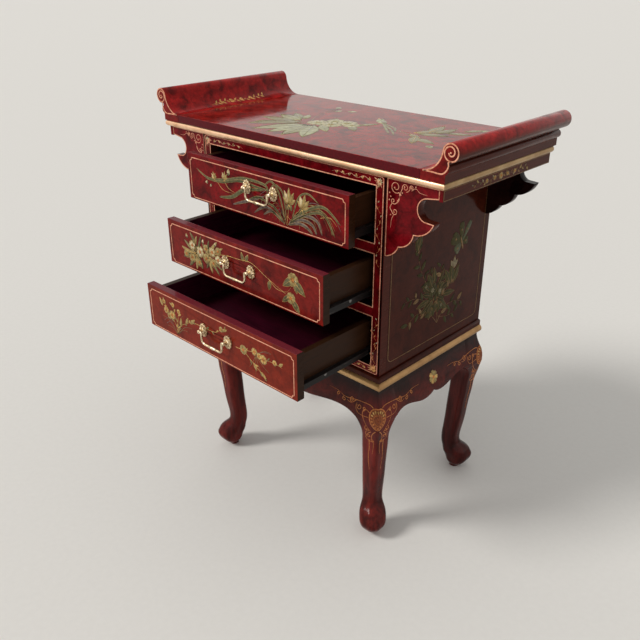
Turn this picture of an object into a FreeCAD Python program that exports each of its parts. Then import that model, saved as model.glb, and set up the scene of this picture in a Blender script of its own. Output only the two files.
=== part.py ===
import FreeCAD, Part
import math
import os

# Red lacquer altar-top chest of three drawers on a stand with cabriole legs.
# Millimetres. X runs along the width, the drawers open towards -Y, Z is up.
# The origin is on the floor, under the middle of the case.

# Case
case_width = 480.0
case_depth = 335.0
side_thickness = 22.0
frame_thickness = 20.0
bottom_rail_height = 16.5
divider_height = 20.5
top_rail_height = 19.0
opening_height = 100.5
bottom_panel_thickness = 12.0
back_panel_thickness = 6.0
cleat_size = 18.0
drawer_names = ["bottom", "middle", "top"]
drawer_open = {"bottom": 186.0, "middle": 123.0, "top": 62.0}

# Stand and base
stand_height = 359.0
base_board_height = 16.5
base_board_overhang = 2.0
plinth_height = 12.0
plinth_overhang = 5.0
plinth_rounding = 4.0
edge_tolerance = 0.001
leg_post = 46.0
apron_thickness = 18.0
corner_block_height = 30.0
corner_block_reach = 36.0

# Cabriole leg: height, flare beyond the case line, width and corner radii (toe and heel, sides)
foot_profile = [
    (0.0, -5.0, 21.0, 8.5, 9.5),
    (11.0, 6.0, 37.0, 14.0, 16.0),
    (22.0, 14.0, 49.0, 16.0, 21.0),
    (36.0, 16.0, 54.5, 16.0, 25.0),
    (47.0, 12.0, 53.0, 15.0, 23.0),
    (57.0, 5.5, 47.5, 14.0, 19.0),
    (66.0, -2.5, 41.0, 14.0, 16.0),
    (80.0, -7.0, 37.5, 13.5, 14.0),
]
# The knee's heights are measured down from the top of the stand
knee_profile = [
    (117.0, 6.5, 43.0, 10.0, 10.0),
    (101.0, 9.4, 45.2, 9.0, 9.0),
    (87.0, 11.3, 49.4, 6.0, 5.0),
    (73.0, 12.46, 58.46, 1.0, 1.0),
]
shaft_sections = 3

# Aprons and posts: flare of the outer face at depths below the stand's top
stand_flare = [(0.0, 0.0), (27.0, 4.0), (52.0, 11.3), (66.0, 12.5), (90.0, 11.0)]
# Apron lower edge: place along half the apron (0 middle, 1 leg) and depth below the stand's top
apron_edge = [(0.0, 69.7), (0.09, 75.5), (0.23, 78.5), (0.5, 71.0), (0.77, 63.0), (0.9, 65.0), (1.0, 73.0)]

# Top
under_board_thickness = 12.5
top_thickness = 15.5
top_lip = 7.5
top_overhang = 117.0
scroll_inset = 46.0
fascia_height = 14.0
scroll_overhang = 7.0
scroll_centre_rise = 33.1
scroll_radius = 15.0
scroll_neck_angle = -112.0
end_bead_projection = 6.0
end_bead_height = 14.5
end_rail_thickness = 7.0
end_rail_height = 19.5
end_rail_setback = 5.5
end_rail_inset = 1.25

# Brackets: points out from the case side and down from the top's underside
bracket_thickness = 16.0
bracket_setback = 1.5
bracket_arm_depth = 17.5
bracket_bite_start = (82.0, 21.0)
bracket_bite_deepest = (64.5, 38.5)
bracket_bite_end = (78.0, 58.0)
bracket_tip = (98.0, 59.0)
# Each scallop's middle and its end, from the tip down to the case
bracket_scallops = [
    ((87.5, 75.5), (59.5, 87.0)),
    ((51.0, 104.0), (29.5, 115.0)),
    ((20.0, 128.5), (5.0, 137.0)),
]

# Drawers
front_gap = 4.0
front_thickness = 16.0
side_drop = 12.0
drawer_side_height = 70.0
drawer_side_thickness = 12.0
drawer_back_gap = 21.0
drawer_back_drop = 6.0
drawer_bottom_thickness = 5.0
drawer_bottom_rise = 8.0
groove_depth = 5.0

# Roller runners
runner_gap = 12.7
steel = 1.2
runner_web = 17.0
flange_clearance = 1.5
channel_margin = 1.0
roller_radius = 7.5
roller_offset = 2.0
rolling_gap = 0.3
pin_radius = 2.4
pin_clearance = 0.05
pin_head_radius = 4.0
pin_head_thickness = 0.8
pin_head_gap = 0.2
case_roller_setback = 14.0
case_runner_back_gap = 17.0
case_runner_setback = 2.0
drawer_roller_inset = 11.0
screw_radius = 1.8
screw_head_radius = 3.2
screw_head_height = 0.8
screw_tip_gap = 0.7
runner_screw_inset = 60.0
cleat_screw_length = 26.0
cleat_screw_inset = 40.0
screws_per_cleat = 3

# Handles
handle_spacing = 71.0
handle_rise = {"bottom": 4.0, "middle": 2.0, "top": 12.0}
rosette_half_width = 11.0
rosette_half_height = 13.5
rosette_thickness = 2.5
rosette_petals = 12
rosette_petal_radius = 3.1
rosette_boss_radius = 6.5
rosette_boss_height = 3.0
rosette_boss_tip_radius = 4.5
post_radius = 3.0
post_neck_length = 6.0
post_ball_radius = 4.0
post_flat_depth = 1.0
post_hole_clearance = 0.25
nut_radius = 6.0
nut_sides = 6
nut_thickness = 3.0
post_end = 2.0
bail_radius = 2.3
bail_pin_radius = 1.6
bail_pin_clearance = 0.05
bail_pin_length = 4.0
bail_shoulder = 2.8
bail_drop = 21.5
bail_shoulder_bend = 2.6
bail_grip_bend = 9.0
bail_gap = 0.3
grip_swell_radius = 3.3
grip_swell_length = 20.0

# Worked out from the sizes above
half_width = case_width / 2
half_depth = case_depth / 2
front_y = -half_depth
back_y = half_depth
frame_back_y = front_y + frame_thickness
inner_half = half_width - side_thickness
base_top = stand_height + base_board_height
case_bottom = base_top + plinth_height
case_height = bottom_rail_height + top_rail_height + 3 * opening_height + 2 * divider_height
case_top = case_bottom + case_height
under_board_top = case_top + under_board_thickness
top_surface = under_board_top + top_thickness
top_bead_radius = under_board_thickness / 2
base_bead_radius = base_board_height / 2
top_depth = case_depth + 2 * top_lip
top_edge_x = half_width + top_overhang
scroll_start_x = top_edge_x - scroll_inset
drawer_half = inner_half - runner_gap
flange_width = runner_gap - steel - flange_clearance
runner_clearance = screw_head_height + rolling_gap
roller_width = runner_gap - steel - roller_offset - pin_head_gap - pin_head_thickness - runner_clearance
runner_screw_length = steel + drawer_side_thickness - groove_depth - screw_tip_gap
front_height = opening_height - 2 * front_gap
panel_back_y = back_y - back_panel_thickness
case_runner_length = panel_back_y - frame_back_y - case_runner_setback - case_runner_back_gap
drawer_side_length = panel_back_y - (front_y + front_thickness) - drawer_back_gap
up = FreeCAD.Vector(0, 0, 1)
along_x = FreeCAD.Vector(1, 0, 0)
along_y = FreeCAD.Vector(0, 1, 0)


def v(x, y, z):
    return FreeCAD.Vector(x, y, z)


def box(x0, x1, y0, y1, z0, z1):
    return Part.makeBox(x1 - x0, y1 - y0, z1 - z0, v(x0, y0, z0))


def mirror_x(shape):
    return shape.mirror(v(0, 0, 0), along_x)


def mirror_y(shape):
    return shape.mirror(v(0, 0, 0), along_y)


def pair(shape):
    """A right-hand piece with its left-hand twin, as two separate solids."""
    return [shape, mirror_x(shape)]


def mirror_point(point):
    return v(-point.x, point.y, point.z)


def prism(points, direction):
    """A straight-sided solid from a closed outline of points."""
    wire = Part.makePolygon(points + [points[0]])
    return Part.Face(wire).extrude(direction)


def line(a, b):
    return Part.LineSegment(a, b).toShape()


def arc(a, b, c):
    return Part.Arc(a, b, c).toShape()


def save(name, solids):
    """Write one named piece, or a group of like pieces, to its own file."""
    shape = solids[0] if len(solids) == 1 else Part.makeCompound(solids)
    shape.exportStep(os.path.join("parts", name + ".step"))


def opening_bottom(index):
    return case_bottom + bottom_rail_height + index * (opening_height + divider_height)


# Case boards
def make_case():
    side = box(inner_half, half_width, frame_back_y, back_y, case_bottom, case_top)
    stile = box(inner_half, half_width, front_y, frame_back_y, case_bottom, case_top)
    screws = case_runner_screws()
    for screw in screws:
        side = side.cut(screw)
    save("side_right", [side])
    save("side_left", [mirror_x(side)])
    save("stiles", pair(stile))
    save("bottom_rail", [rail(case_bottom, bottom_rail_height)])
    save("top_rail", [rail(case_top - top_rail_height, top_rail_height)])
    save("dividers", [rail(opening_bottom(i) + opening_height, divider_height) for i in (0, 1)])
    panel_z = case_bottom + (bottom_rail_height - bottom_panel_thickness) / 2
    save("bottom_panel", [box(-inner_half, inner_half, frame_back_y, panel_back_y,
                              panel_z, panel_z + bottom_panel_thickness)])
    save("back_panel", [box(-inner_half, inner_half, panel_back_y, back_y, case_bottom, case_top)])
    cleat_screws = [cleat_screw(i) for i in range(screws_per_cleat)]
    cleat = box(inner_half - cleat_size, inner_half, frame_back_y, panel_back_y,
                case_top - cleat_size, case_top)
    for screw in cleat_screws:
        cleat = cleat.cut(screw)
    save("top_cleats", pair(cleat))
    case_screws = screws + cleat_screws
    save("case_screws", case_screws + [mirror_x(s) for s in case_screws])
    return cleat_screws + [mirror_x(s) for s in cleat_screws]


def rail(z, height):
    return box(-inner_half, inner_half, front_y, frame_back_y, z, z + height)


def wood_screw(head_at, direction, length):
    """A pan-head screw: its head stands on the surface, its shank goes into the wood."""
    head_top = head_at - direction * screw_head_height
    head = Part.makeCylinder(screw_head_radius, screw_head_height, head_top, direction)
    shank = Part.makeCylinder(screw_radius, length, head_at, direction)
    return head.fuse(shank).removeSplitter()


def cleat_screw(index):
    run = panel_back_y - frame_back_y - 2 * cleat_screw_inset
    y = frame_back_y + cleat_screw_inset + run * index / (screws_per_cleat - 1)
    return wood_screw(v(inner_half - cleat_size / 2, y, case_top - cleat_size), up, cleat_screw_length)


# Roller runners on the case
def runner_base(index):
    """Underside of a drawer's sides, which sets its runners' height."""
    return opening_bottom(index) + front_gap + side_drop


def roller_z(index):
    return runner_base(index) + runner_web - steel - rolling_gap - roller_radius


def case_roller_y():
    return frame_back_y + case_roller_setback


def roller_pin(x0, x1, y, z):
    """A riveted pin from x0 on the sheet out to x1, with a head that keeps the roller on."""
    way = math.copysign(1.0, x1 - x0)
    shank = Part.makeCylinder(pin_radius, abs(x1 - x0), v(x0, y, z), along_x * way)
    head = Part.makeCylinder(pin_head_radius, pin_head_thickness, v(x1, y, z), along_x * way)
    return shank.fuse(head)


def roller(x0, y, z):
    """A nylon roller with its bore, from x0 to x0 + roller_width."""
    disc = Part.makeCylinder(roller_radius, roller_width, v(x0, y, z), along_x)
    bore = Part.makeCylinder(pin_radius + pin_clearance, roller_width, v(x0, y, z), along_x)
    return disc.cut(bore)


def pin_reach():
    return roller_offset + roller_width + pin_head_gap


def case_runner(index):
    """A steel channel on the case side, open towards the drawer, with a roller pin at its front."""
    web_x = inner_half - steel
    low = roller_z(index) - roller_radius - rolling_gap - steel
    high = runner_base(index) + runner_web + channel_margin + steel
    y0 = frame_back_y + case_runner_setback
    y1 = y0 + case_runner_length
    flange_y = case_roller_y() + roller_radius + channel_margin
    runner = box(web_x, inner_half, y0, y1, low, high)
    runner = runner.fuse(box(inner_half - flange_width, inner_half, flange_y, y1, low, low + steel))
    runner = runner.fuse(box(inner_half - flange_width, inner_half, flange_y, y1, high - steel, high))
    runner = runner.fuse(roller_pin(web_x, inner_half - pin_reach(), case_roller_y(), roller_z(index)))
    for screw in runner_screws_at(index, inner_half - steel, along_x, y0, y1):
        runner = runner.cut(screw)
    return runner.removeSplitter()


def runner_screws_at(index, x, direction, y0, y1):
    """Two screws through a runner's web, one near each end."""
    z = roller_z(index)
    places = (y0 + runner_screw_inset, y1 - runner_screw_inset)
    return [wood_screw(v(x, y, z), direction, runner_screw_length) for y in places]


def case_runner_screws():
    y0 = frame_back_y + case_runner_setback
    screws = []
    for index in range(len(drawer_names)):
        screws += runner_screws_at(index, inner_half - steel, along_x, y0, y0 + case_runner_length)
    return screws


def make_case_runners():
    runners = []
    for index in range(len(drawer_names)):
        runners += pair(case_runner(index))
    save("case_runners", runners)
    for index, name in enumerate(drawer_names):
        one = roller(inner_half - roller_offset - roller_width, case_roller_y(), roller_z(index))
        save("case_rollers_" + name, pair(one))


# Half-round beads, mitred at the front corners
def half_round(radius, length):
    """A half-round moulding along +X, its flat back on the plane Y = 0 and its round towards -Y."""
    whole = Part.makeCylinder(radius, length, v(0, 0, radius), along_x)
    return whole.common(box(0, length, -radius, 0, 0, 2 * radius))


def bead_set(radius, x_half, y_front, y_back, z):
    """Front length and two end lengths round a board's edge."""
    reach = 2 * radius
    front = half_round(radius, 2 * (x_half + reach))
    front.translate(v(-x_half - reach, y_front, z))
    end = half_round(radius, y_back - y_front + reach)
    end.rotate(v(0, 0, 0), up, 90)
    end.translate(v(x_half, y_front - reach, z))
    far = x_half + y_back - y_front
    corner = v(x_half, y_front, z)
    tip = corner + v(reach, -reach, 0)
    front_side = [mirror_point(corner), corner, tip, mirror_point(tip)]
    end_side = [corner, v(far, y_front, z), v(far, y_front - reach, z), tip]
    end_rest = box(x_half, far, y_front, y_back, z, z + reach)
    front = front.common(prism(front_side, up * reach))
    end = end.common(prism(end_side, up * reach).fuse(end_rest).removeSplitter())
    return [front] + pair(end)


# Top
def xz(x, z):
    return v(x, -top_depth / 2, z)


def on_circle(centre, radius, angle):
    return xz(centre.x + radius * math.cos(angle), centre.z + radius * math.sin(angle))


def scroll_end():
    """Upturned end: a concave sweep up from the top, a round scroll, a bead and a plain edge below."""
    scroll_x = top_edge_x + scroll_overhang
    scroll_z = top_surface + scroll_centre_rise
    run = scroll_x - scroll_start_x
    rise = scroll_centre_rise
    sweep = (run ** 2 + rise ** 2 - scroll_radius ** 2) / (2 * (rise + scroll_radius))
    sweep_centre = v(scroll_start_x, 0, top_surface + sweep)
    scroll_centre = v(scroll_x, 0, scroll_z)
    meet = sweep_centre + (scroll_centre - sweep_centre).normalize() * sweep
    low_angle = -math.pi / 2
    meet_angle = math.atan2(meet.z - sweep_centre.z, meet.x - sweep_centre.x)
    middle_angle = (low_angle + meet_angle) / 2
    sweep_mid = on_circle(sweep_centre, sweep, middle_angle)
    neck = on_circle(scroll_centre, scroll_radius, math.radians(scroll_neck_angle))
    outer = on_circle(scroll_centre, scroll_radius, math.pi / 4)
    meet_at = xz(meet.x, meet.z)
    fascia_top = under_board_top + fascia_height
    bead_low = xz(top_edge_x, fascia_top)
    bead_mid = xz(top_edge_x + end_bead_projection, fascia_top + end_bead_height / 2)
    bead_high = xz(neck.x, fascia_top + end_bead_height)
    foot_in = xz(scroll_start_x, under_board_top)
    foot_out = xz(top_edge_x, under_board_top)
    edges = [
        arc(xz(scroll_start_x, top_surface), sweep_mid, meet_at),
        arc(meet_at, outer, neck),
        line(neck, bead_high),
        arc(bead_high, bead_mid, bead_low),
        line(bead_low, foot_out),
        line(foot_out, foot_in),
        line(foot_in, xz(scroll_start_x, top_surface)),
    ]
    return Part.Face(Part.Wire(edges)).extrude(along_y * top_depth)


def end_rail():
    x1 = top_edge_x - end_rail_setback
    y1 = top_depth / 2 - top_bead_radius - end_rail_inset
    return box(x1 - end_rail_thickness, x1, -y1, y1, case_top - end_rail_height, case_top)


def bracket():
    """Front right bracket: an arm under the top, a round bite, a tip and three scallops below it."""
    y = front_y + bracket_setback
    left = half_width
    right = top_edge_x - end_rail_setback - end_rail_thickness
    high = case_top

    def at(point):
        out, down = point
        return v(left + out, y, high - down)

    inner_top = v(left, y, high)
    outer_top = v(right, y, high)
    arm_end = v(right, y, high - bracket_arm_depth)
    edges = [
        line(inner_top, outer_top),
        line(outer_top, arm_end),
        line(arm_end, at(bracket_bite_start)),
        arc(at(bracket_bite_start), at(bracket_bite_deepest), at(bracket_bite_end)),
        line(at(bracket_bite_end), at(bracket_tip)),
    ]
    start = at(bracket_tip)
    for middle, end in bracket_scallops:
        edges.append(arc(start, at(middle), at(end)))
        start = at(end)
    foot_in = v(left, y, start.z)
    edges.append(line(start, foot_in))
    edges.append(line(foot_in, inner_top))
    return Part.Face(Part.Wire(edges)).extrude(along_y * bracket_thickness)


def make_top(cleat_screws):
    board_x = top_edge_x - top_bead_radius
    board_y = top_depth / 2 - top_bead_radius
    board = box(-board_x, board_x, -board_y, board_y, case_top, under_board_top)
    for screw in cleat_screws:
        board = board.cut(screw)
    save("under_top_board", [board])
    save("top_bead", bead_set(top_bead_radius, board_x, -board_y, board_y, case_top))
    save("top_panel", [box(-scroll_start_x, scroll_start_x, -top_depth / 2, top_depth / 2,
                           under_board_top, top_surface)])
    scroll = scroll_end()
    save("scroll_end_right", [scroll])
    save("scroll_end_left", [mirror_x(scroll)])
    save("end_rails", pair(end_rail()))
    front_bracket = bracket()
    save("brackets_front", pair(front_bracket))
    save("brackets_rear", pair(mirror_y(front_bracket)))


# Base and stand
def make_base():
    x_half = half_width + plinth_overhang
    plinth = box(-x_half, x_half, front_y - plinth_overhang, back_y, base_top, case_bottom)
    upper = [e for e in plinth.Edges if is_upper_outer_edge(e, x_half)]
    plinth = plinth.makeFillet(plinth_rounding, upper)
    save("plinth_board", [plinth])
    board_x = half_width + base_board_overhang
    board_y = front_y - base_board_overhang
    save("base_board", [box(-board_x, board_x, board_y, back_y, stand_height, base_top)])
    save("base_bead", bead_set(base_bead_radius, board_x, board_y, back_y, stand_height))


def is_upper_outer_edge(edge, x_half):
    """True for the plinth's top edges at the front and the two ends."""
    middle = edge.CenterOfMass
    on_top = abs(middle.z - case_bottom) < edge_tolerance
    at_front = abs(middle.y - (front_y - plinth_overhang)) < edge_tolerance
    at_end = abs(abs(middle.x) - x_half) < edge_tolerance
    return on_top and (at_front or at_end)


def leg_section(z, flare, width, toe_radius, side_radius):
    """A square with rounded corners: toe and heel lie on the corner's diagonal, the sides across it."""
    x1 = half_width + flare
    y1 = half_depth + flare
    x0 = x1 - width
    y0 = y1 - width
    toe = (v(x1 - toe_radius, y1 - toe_radius, z), toe_radius, 0)
    left_side = (v(x0 + side_radius, y1 - side_radius, z), side_radius, 90)
    heel = (v(x0 + toe_radius, y0 + toe_radius, z), toe_radius, 180)
    right_side = (v(x1 - side_radius, y0 + side_radius, z), side_radius, 270)
    arcs = []
    for centre, radius, start in (toe, left_side, heel, right_side):
        points = []
        for turn in (0, 45, 90):
            angle = math.radians(start + turn)
            points.append(centre + v(math.cos(angle), math.sin(angle), 0) * radius)
        arcs.append(points)
    edges = []
    for index, points in enumerate(arcs):
        edges.append(arc(*points))
        edges.append(line(points[2], arcs[(index + 1) % len(arcs)][0]))
    return Part.Wire(edges)


def flared_board(start, length, face_at, depth):
    """A board along X whose front face has the stand's flare."""
    flare = [v(start, -face_at - out, stand_height - drop) for drop, out in stand_flare]
    curve = Part.BSplineCurve()
    curve.interpolate(flare)
    inner_low = v(start, depth - face_at, flare[-1].z)
    inner_high = v(start, depth - face_at, stand_height)
    back = [line(flare[-1], inner_low), line(inner_low, inner_high), line(inner_high, flare[0])]
    return Part.Face(Part.Wire([curve.toShape()] + back)).extrude(along_x * length)


def leg_top():
    """Square post and flared knee of the front right leg, flush with the aprons."""
    drop, out, width = knee_profile[-1][:3]
    front = flared_board(half_width - leg_post, width, half_depth, leg_post)
    side = flared_board(leg_post - half_depth - width, width, half_width, leg_post)
    side.rotate(v(0, 0, 0), up, 90)
    reach = half_width + width
    return front.common(side).common(box(-reach, reach, -reach, reach, stand_height - drop, stand_height))


def leg():
    """Rear right leg: a pad foot, a slender shaft, a knee that flares and a square post."""
    knee = [(stand_height - drop, *rest) for drop, *rest in knee_profile]
    ankle = foot_profile[-1]
    under_knee = knee[0]
    shaft = []
    for step in range(1, shaft_sections + 1):
        share = step / (shaft_sections + 1)
        shaft.append(tuple(a + (b - a) * share for a, b in zip(ankle, under_knee)))
    sections = [leg_section(*row) for row in foot_profile + shaft + knee]
    return Part.makeLoft(sections, True, False).fuse(mirror_y(leg_top())).removeSplitter()


def apron(half_length, face_at):
    """A board along X between two legs, its front face flared and its lower edge shaped."""
    board = flared_board(-half_length, 2 * half_length, face_at, apron_thickness)
    return board.common(apron_outline(half_length, face_at))


def apron_outline(half_length, face_at):
    """The apron's face seen from the front, as a block that is deep enough to hold its flare."""
    deep = face_at + 2 * leg_post
    right = [v(half_length * share, -deep, stand_height - drop) for share, drop in apron_edge]
    left = [mirror_point(p) for p in right]
    curves = []
    for points in (right, left):
        curve = Part.BSplineCurve()
        curve.interpolate(points)
        curves.append(curve.toShape())
    high_right = v(half_length, -deep, stand_height)
    high_left = v(-half_length, -deep, stand_height)
    sides = [line(right[-1], high_right), line(high_right, high_left), line(high_left, left[-1])]
    wire = Part.Wire(Part.__sortEdges__(curves + sides))
    return Part.Face(wire).extrude(along_y * (2 * leg_post + face_at))


def corner_block():
    """Rear right glue block in the angle between two aprons and the leg's post."""
    x_in = half_width - apron_thickness
    y_in = half_depth - apron_thickness
    post_x = half_width - leg_post
    post_y = half_depth - leg_post
    z = stand_height - corner_block_height
    points = [v(x_in, post_y, z), v(post_x, post_y, z), v(post_x, y_in, z),
              v(post_x - corner_block_reach, y_in, z), v(x_in, post_y - corner_block_reach, z)]
    return prism(points, up * corner_block_height)


def make_stand():
    rear_leg = leg()
    front_leg = mirror_y(rear_leg)
    legs = pair(rear_leg) + pair(front_leg)
    save("legs_rear", pair(rear_leg))
    save("legs_front", pair(front_leg))
    front_apron = apron(half_width - leg_post, half_depth)
    side_apron = apron(half_depth - leg_post, half_width)
    side_apron.rotate(v(0, 0, 0), up, 90)
    for one in legs:
        front_apron = front_apron.cut(one)
        side_apron = side_apron.cut(one)
    save("aprons_long", [front_apron, mirror_y(front_apron)])
    save("aprons_side", pair(side_apron))
    block = corner_block().cut(rear_leg)
    save("corner_blocks", pair(block) + pair(mirror_y(block)))


# Drawers
def drawer_runner(index):
    """Right-hand steel angle under the drawer side, with the flange that rolls on the case roller."""
    base = runner_base(index)
    y0 = front_y + front_thickness
    y1 = y0 + drawer_side_length
    high = base + runner_web
    pin_y = y1 - drawer_roller_inset
    web = box(drawer_half, drawer_half + steel, y0, y1, base - steel, high)
    foot = box(drawer_half - drawer_side_thickness, drawer_half + steel, y0, y1, base - steel, base)
    flange = box(drawer_half, drawer_half + flange_width, y0, y1, high - steel, high)
    pin = roller_pin(drawer_half + steel, drawer_half + pin_reach(), pin_y, roller_z(index))
    runner = web.fuse([foot, flange, pin])
    for screw in drawer_runner_screws(index):
        runner = runner.cut(screw)
    return runner.removeSplitter()


def drawer_runner_screws(index):
    y0 = front_y + front_thickness
    return runner_screws_at(index, drawer_half + steel, along_x * -1, y0, y0 + drawer_side_length)


def make_drawer(index, name):
    slide = v(0, -drawer_open[name], 0)

    def save_moved(piece, solids):
        for solid in solids:
            solid.translate(slide)
        save(piece + "_" + name, solids)

    low = opening_bottom(index) + front_gap
    base = runner_base(index)
    y0 = front_y + front_thickness
    y1 = y0 + drawer_side_length
    inside = drawer_half - drawer_side_thickness
    panel_low = base + drawer_bottom_rise
    panel_high = panel_low + drawer_bottom_thickness
    panel = box(-inside - groove_depth, inside + groove_depth, y0 - groove_depth, y1, panel_low, panel_high)
    side = box(inside, drawer_half, y0, y1, base, base + drawer_side_height).cut(panel)
    screws = drawer_runner_screws(index)
    for screw in screws:
        side = side.cut(screw)
    back_top = base + drawer_side_height - drawer_back_drop
    back = box(-inside, inside, y1 - drawer_side_thickness, y1, panel_high, back_top)
    front_half = inner_half - front_gap
    front = box(-front_half, front_half, front_y, y0, low, low + front_height).cut(panel)
    handle_z = low + front_height / 2 + handle_rise[name]
    for sign in (-1, 1):
        hole = Part.makeCylinder(post_radius + post_hole_clearance, front_thickness,
                                 v(sign * handle_spacing / 2, front_y, handle_z), along_y)
        front = front.cut(hole)
    rear_roller = roller(drawer_half + roller_offset, y1 - drawer_roller_inset, roller_z(index))
    save_moved("drawer_front", [front])
    save_moved("drawer_sides", pair(side))
    save_moved("drawer_back", [back])
    save_moved("drawer_bottom", [panel])
    save_moved("drawer_runners", pair(drawer_runner(index)))
    save_moved("runner_screws", screws + [mirror_x(s) for s in screws])
    save_moved("drawer_rollers", pair(rear_roller))
    save_moved("rosettes", pair(rosette(handle_z)))
    save_moved("handle_posts", pair(handle_post(handle_z)) + pair(handle_nut(handle_z)))
    save_moved("bail", [bail(handle_z)])


# Handles
def rosette(z):
    """An oval flower-shaped plate with a raised boss, on the drawer front round the right post."""
    x = handle_spacing / 2
    outward = along_y * -1
    across = rosette_half_width - rosette_petal_radius
    tall = rosette_half_height - rosette_petal_radius
    oval = Part.Ellipse(v(x, front_y, z + tall), v(x + across, front_y, z), v(x, front_y, z))
    plate = Part.Face(Part.Wire(oval.toShape())).extrude(outward * rosette_thickness)
    for index in range(rosette_petals):
        angle = 2 * math.pi * index / rosette_petals
        petal_at = v(x + across * math.cos(angle), front_y, z + tall * math.sin(angle))
        plate = plate.fuse(Part.makeCylinder(rosette_petal_radius, rosette_thickness, petal_at, outward))
    boss_at = v(x, front_y - rosette_thickness, z)
    boss = Part.makeCone(rosette_boss_radius, rosette_boss_tip_radius, rosette_boss_height, boss_at, outward)
    depth = rosette_thickness + rosette_boss_height
    hole = Part.makeCylinder(post_radius, depth, v(x, front_y, z), outward)
    return plate.fuse(boss).cut(hole).removeSplitter()


def ball_y():
    return front_y - rosette_thickness - rosette_boss_height - post_neck_length


def bail_face_x():
    """Where the right post's ball is cut flat for the bail's shoulder."""
    return handle_spacing / 2 - post_ball_radius + post_flat_depth


def handle_post(z):
    """Threaded post through the drawer front, with a ball end bored for the bail."""
    x = handle_spacing / 2
    inner_end = front_y + front_thickness + nut_thickness + post_end
    shank = Part.makeCylinder(post_radius, inner_end - ball_y(), v(x, ball_y(), z), along_y)
    ball = Part.makeSphere(post_ball_radius, v(x, ball_y(), z))
    bore_at = v(bail_face_x(), ball_y(), z)
    bore = Part.makeCylinder(bail_pin_radius + bail_pin_clearance, bail_pin_length, bore_at, along_x)
    reach = post_ball_radius
    y0 = ball_y() - reach
    waste = box(bail_face_x() - reach, bail_face_x(), y0, y0 + 2 * reach, z - reach, z + reach)
    return shank.fuse(ball).cut(waste).cut(bore).removeSplitter()


def handle_nut(z):
    """Six-sided nut on the post, behind the drawer front."""
    centre = v(handle_spacing / 2, front_y + front_thickness, z)
    points = []
    for index in range(nut_sides):
        angle = 2 * math.pi * index / nut_sides
        points.append(centre + v(math.cos(angle), 0, math.sin(angle)) * nut_radius)
    hole = Part.makeCylinder(post_radius, nut_thickness, centre, along_y)
    return prism(points, along_y * nut_thickness).cut(hole)


def bail(z):
    """A bent bar that hangs between the posts: two pins, two shoulders, two legs and a grip."""
    y = ball_y()
    shoulder_x = bail_face_x() - bail_gap
    leg_x = shoulder_x - bail_shoulder
    low = z - bail_drop
    tight = bail_shoulder_bend
    wide = bail_grip_bend
    share = 1 - math.sqrt(0.5)

    def at(x, down):
        return v(x, y, down)

    half = [
        line(at(shoulder_x, z), at(leg_x + tight, z)),
        arc(at(leg_x + tight, z), at(leg_x + share * tight, z - share * tight), at(leg_x, z - tight)),
        line(at(leg_x, z - tight), at(leg_x, low + wide)),
        arc(at(leg_x, low + wide), at(leg_x - share * wide, low + share * wide), at(leg_x - wide, low)),
    ]
    grip = line(at(leg_x - wide, low), at(wide - leg_x, low))
    other = [mirror_x(edge) for edge in half]
    path = Part.Wire(Part.__sortEdges__(half + [grip] + other))
    ring = Part.Wire(Part.makeCircle(bail_radius, at(shoulder_x, z), along_x))
    bar = path.makePipeShell([ring], True, False)
    pin = Part.makeCylinder(bail_pin_radius, bail_pin_length, at(shoulder_x, z), along_x)
    swell = Part.makeCone(grip_swell_radius, bail_radius, grip_swell_length / 2, at(0, low), along_x)
    return bar.fuse(pair(pin) + pair(swell)).removeSplitter()


os.makedirs("parts", exist_ok=True)
make_top(make_case())
make_case_runners()
make_base()
make_stand()
for place, drawer in enumerate(drawer_names):
    make_drawer(place, drawer)
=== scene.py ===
import math
import random

import bpy
from mathutils import Matrix, Vector
from mathutils.bvhtree import BVHTree


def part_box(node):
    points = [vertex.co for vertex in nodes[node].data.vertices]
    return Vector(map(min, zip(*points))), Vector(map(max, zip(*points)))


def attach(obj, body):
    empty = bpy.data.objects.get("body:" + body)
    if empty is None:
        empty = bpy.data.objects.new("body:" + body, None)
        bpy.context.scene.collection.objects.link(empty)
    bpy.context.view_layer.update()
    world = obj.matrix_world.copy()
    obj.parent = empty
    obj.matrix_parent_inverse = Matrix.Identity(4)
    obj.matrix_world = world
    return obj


# Red lacquer altar-top chest: finishes, raised gold and coloured painting, light and camera.
# Places on a face are in millimetres, and the scene is in metres.

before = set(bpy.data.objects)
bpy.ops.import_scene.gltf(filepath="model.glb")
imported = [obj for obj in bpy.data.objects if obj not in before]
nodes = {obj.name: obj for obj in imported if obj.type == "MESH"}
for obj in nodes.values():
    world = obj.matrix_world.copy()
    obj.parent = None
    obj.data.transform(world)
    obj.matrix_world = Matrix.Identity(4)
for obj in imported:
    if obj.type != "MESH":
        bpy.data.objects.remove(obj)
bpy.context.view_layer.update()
mm = 0.001
drawers = ["bottom", "middle", "top"]

# Camera
camera_at = (0.96042, -1.07537, 1.08566)
camera_yaw = 43.84
camera_pitch = 26.66
camera_roll = -0.17
camera_lens = 40.717
sensor_width = 36.0

# Light
key_way = (0.48, 0.68, -0.70)
key_spread = 17.0
key_strength = 1.7
key_colour = (1.0, 0.97, 0.92)
world_colour = (1.0, 0.98, 0.94, 1.0)
world_light = 0.5
world_seen = 0.9
floor_reach = 80.0

# Painting, whose heights are counted in coats
paint_height = 0.35
paint_sink = 0.08
ridge_flat = 0.62
mound_flat = 0.86
thinnest_share = 0.12
sharpest_cosine = 0.45
line_width = 2.0
drape_reach = 120.0
drape_step = 2.5
leaf_points = 7
petal_points = 6
finest_vein = 0.5
outlined_leaf = 12.0
outline_width = 0.6
front_way = (0, -1, 0)
back_way = (0, 1, 0)
up_way = (0, 0, 1)

# Where painted shade begins and fades: on the outside of the upturned ends and under the stand's beads
roll_inner_edge = 352.0
roll_fade = (822.0, 837.0)
stand_fade = (312.0, 352.0)


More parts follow.
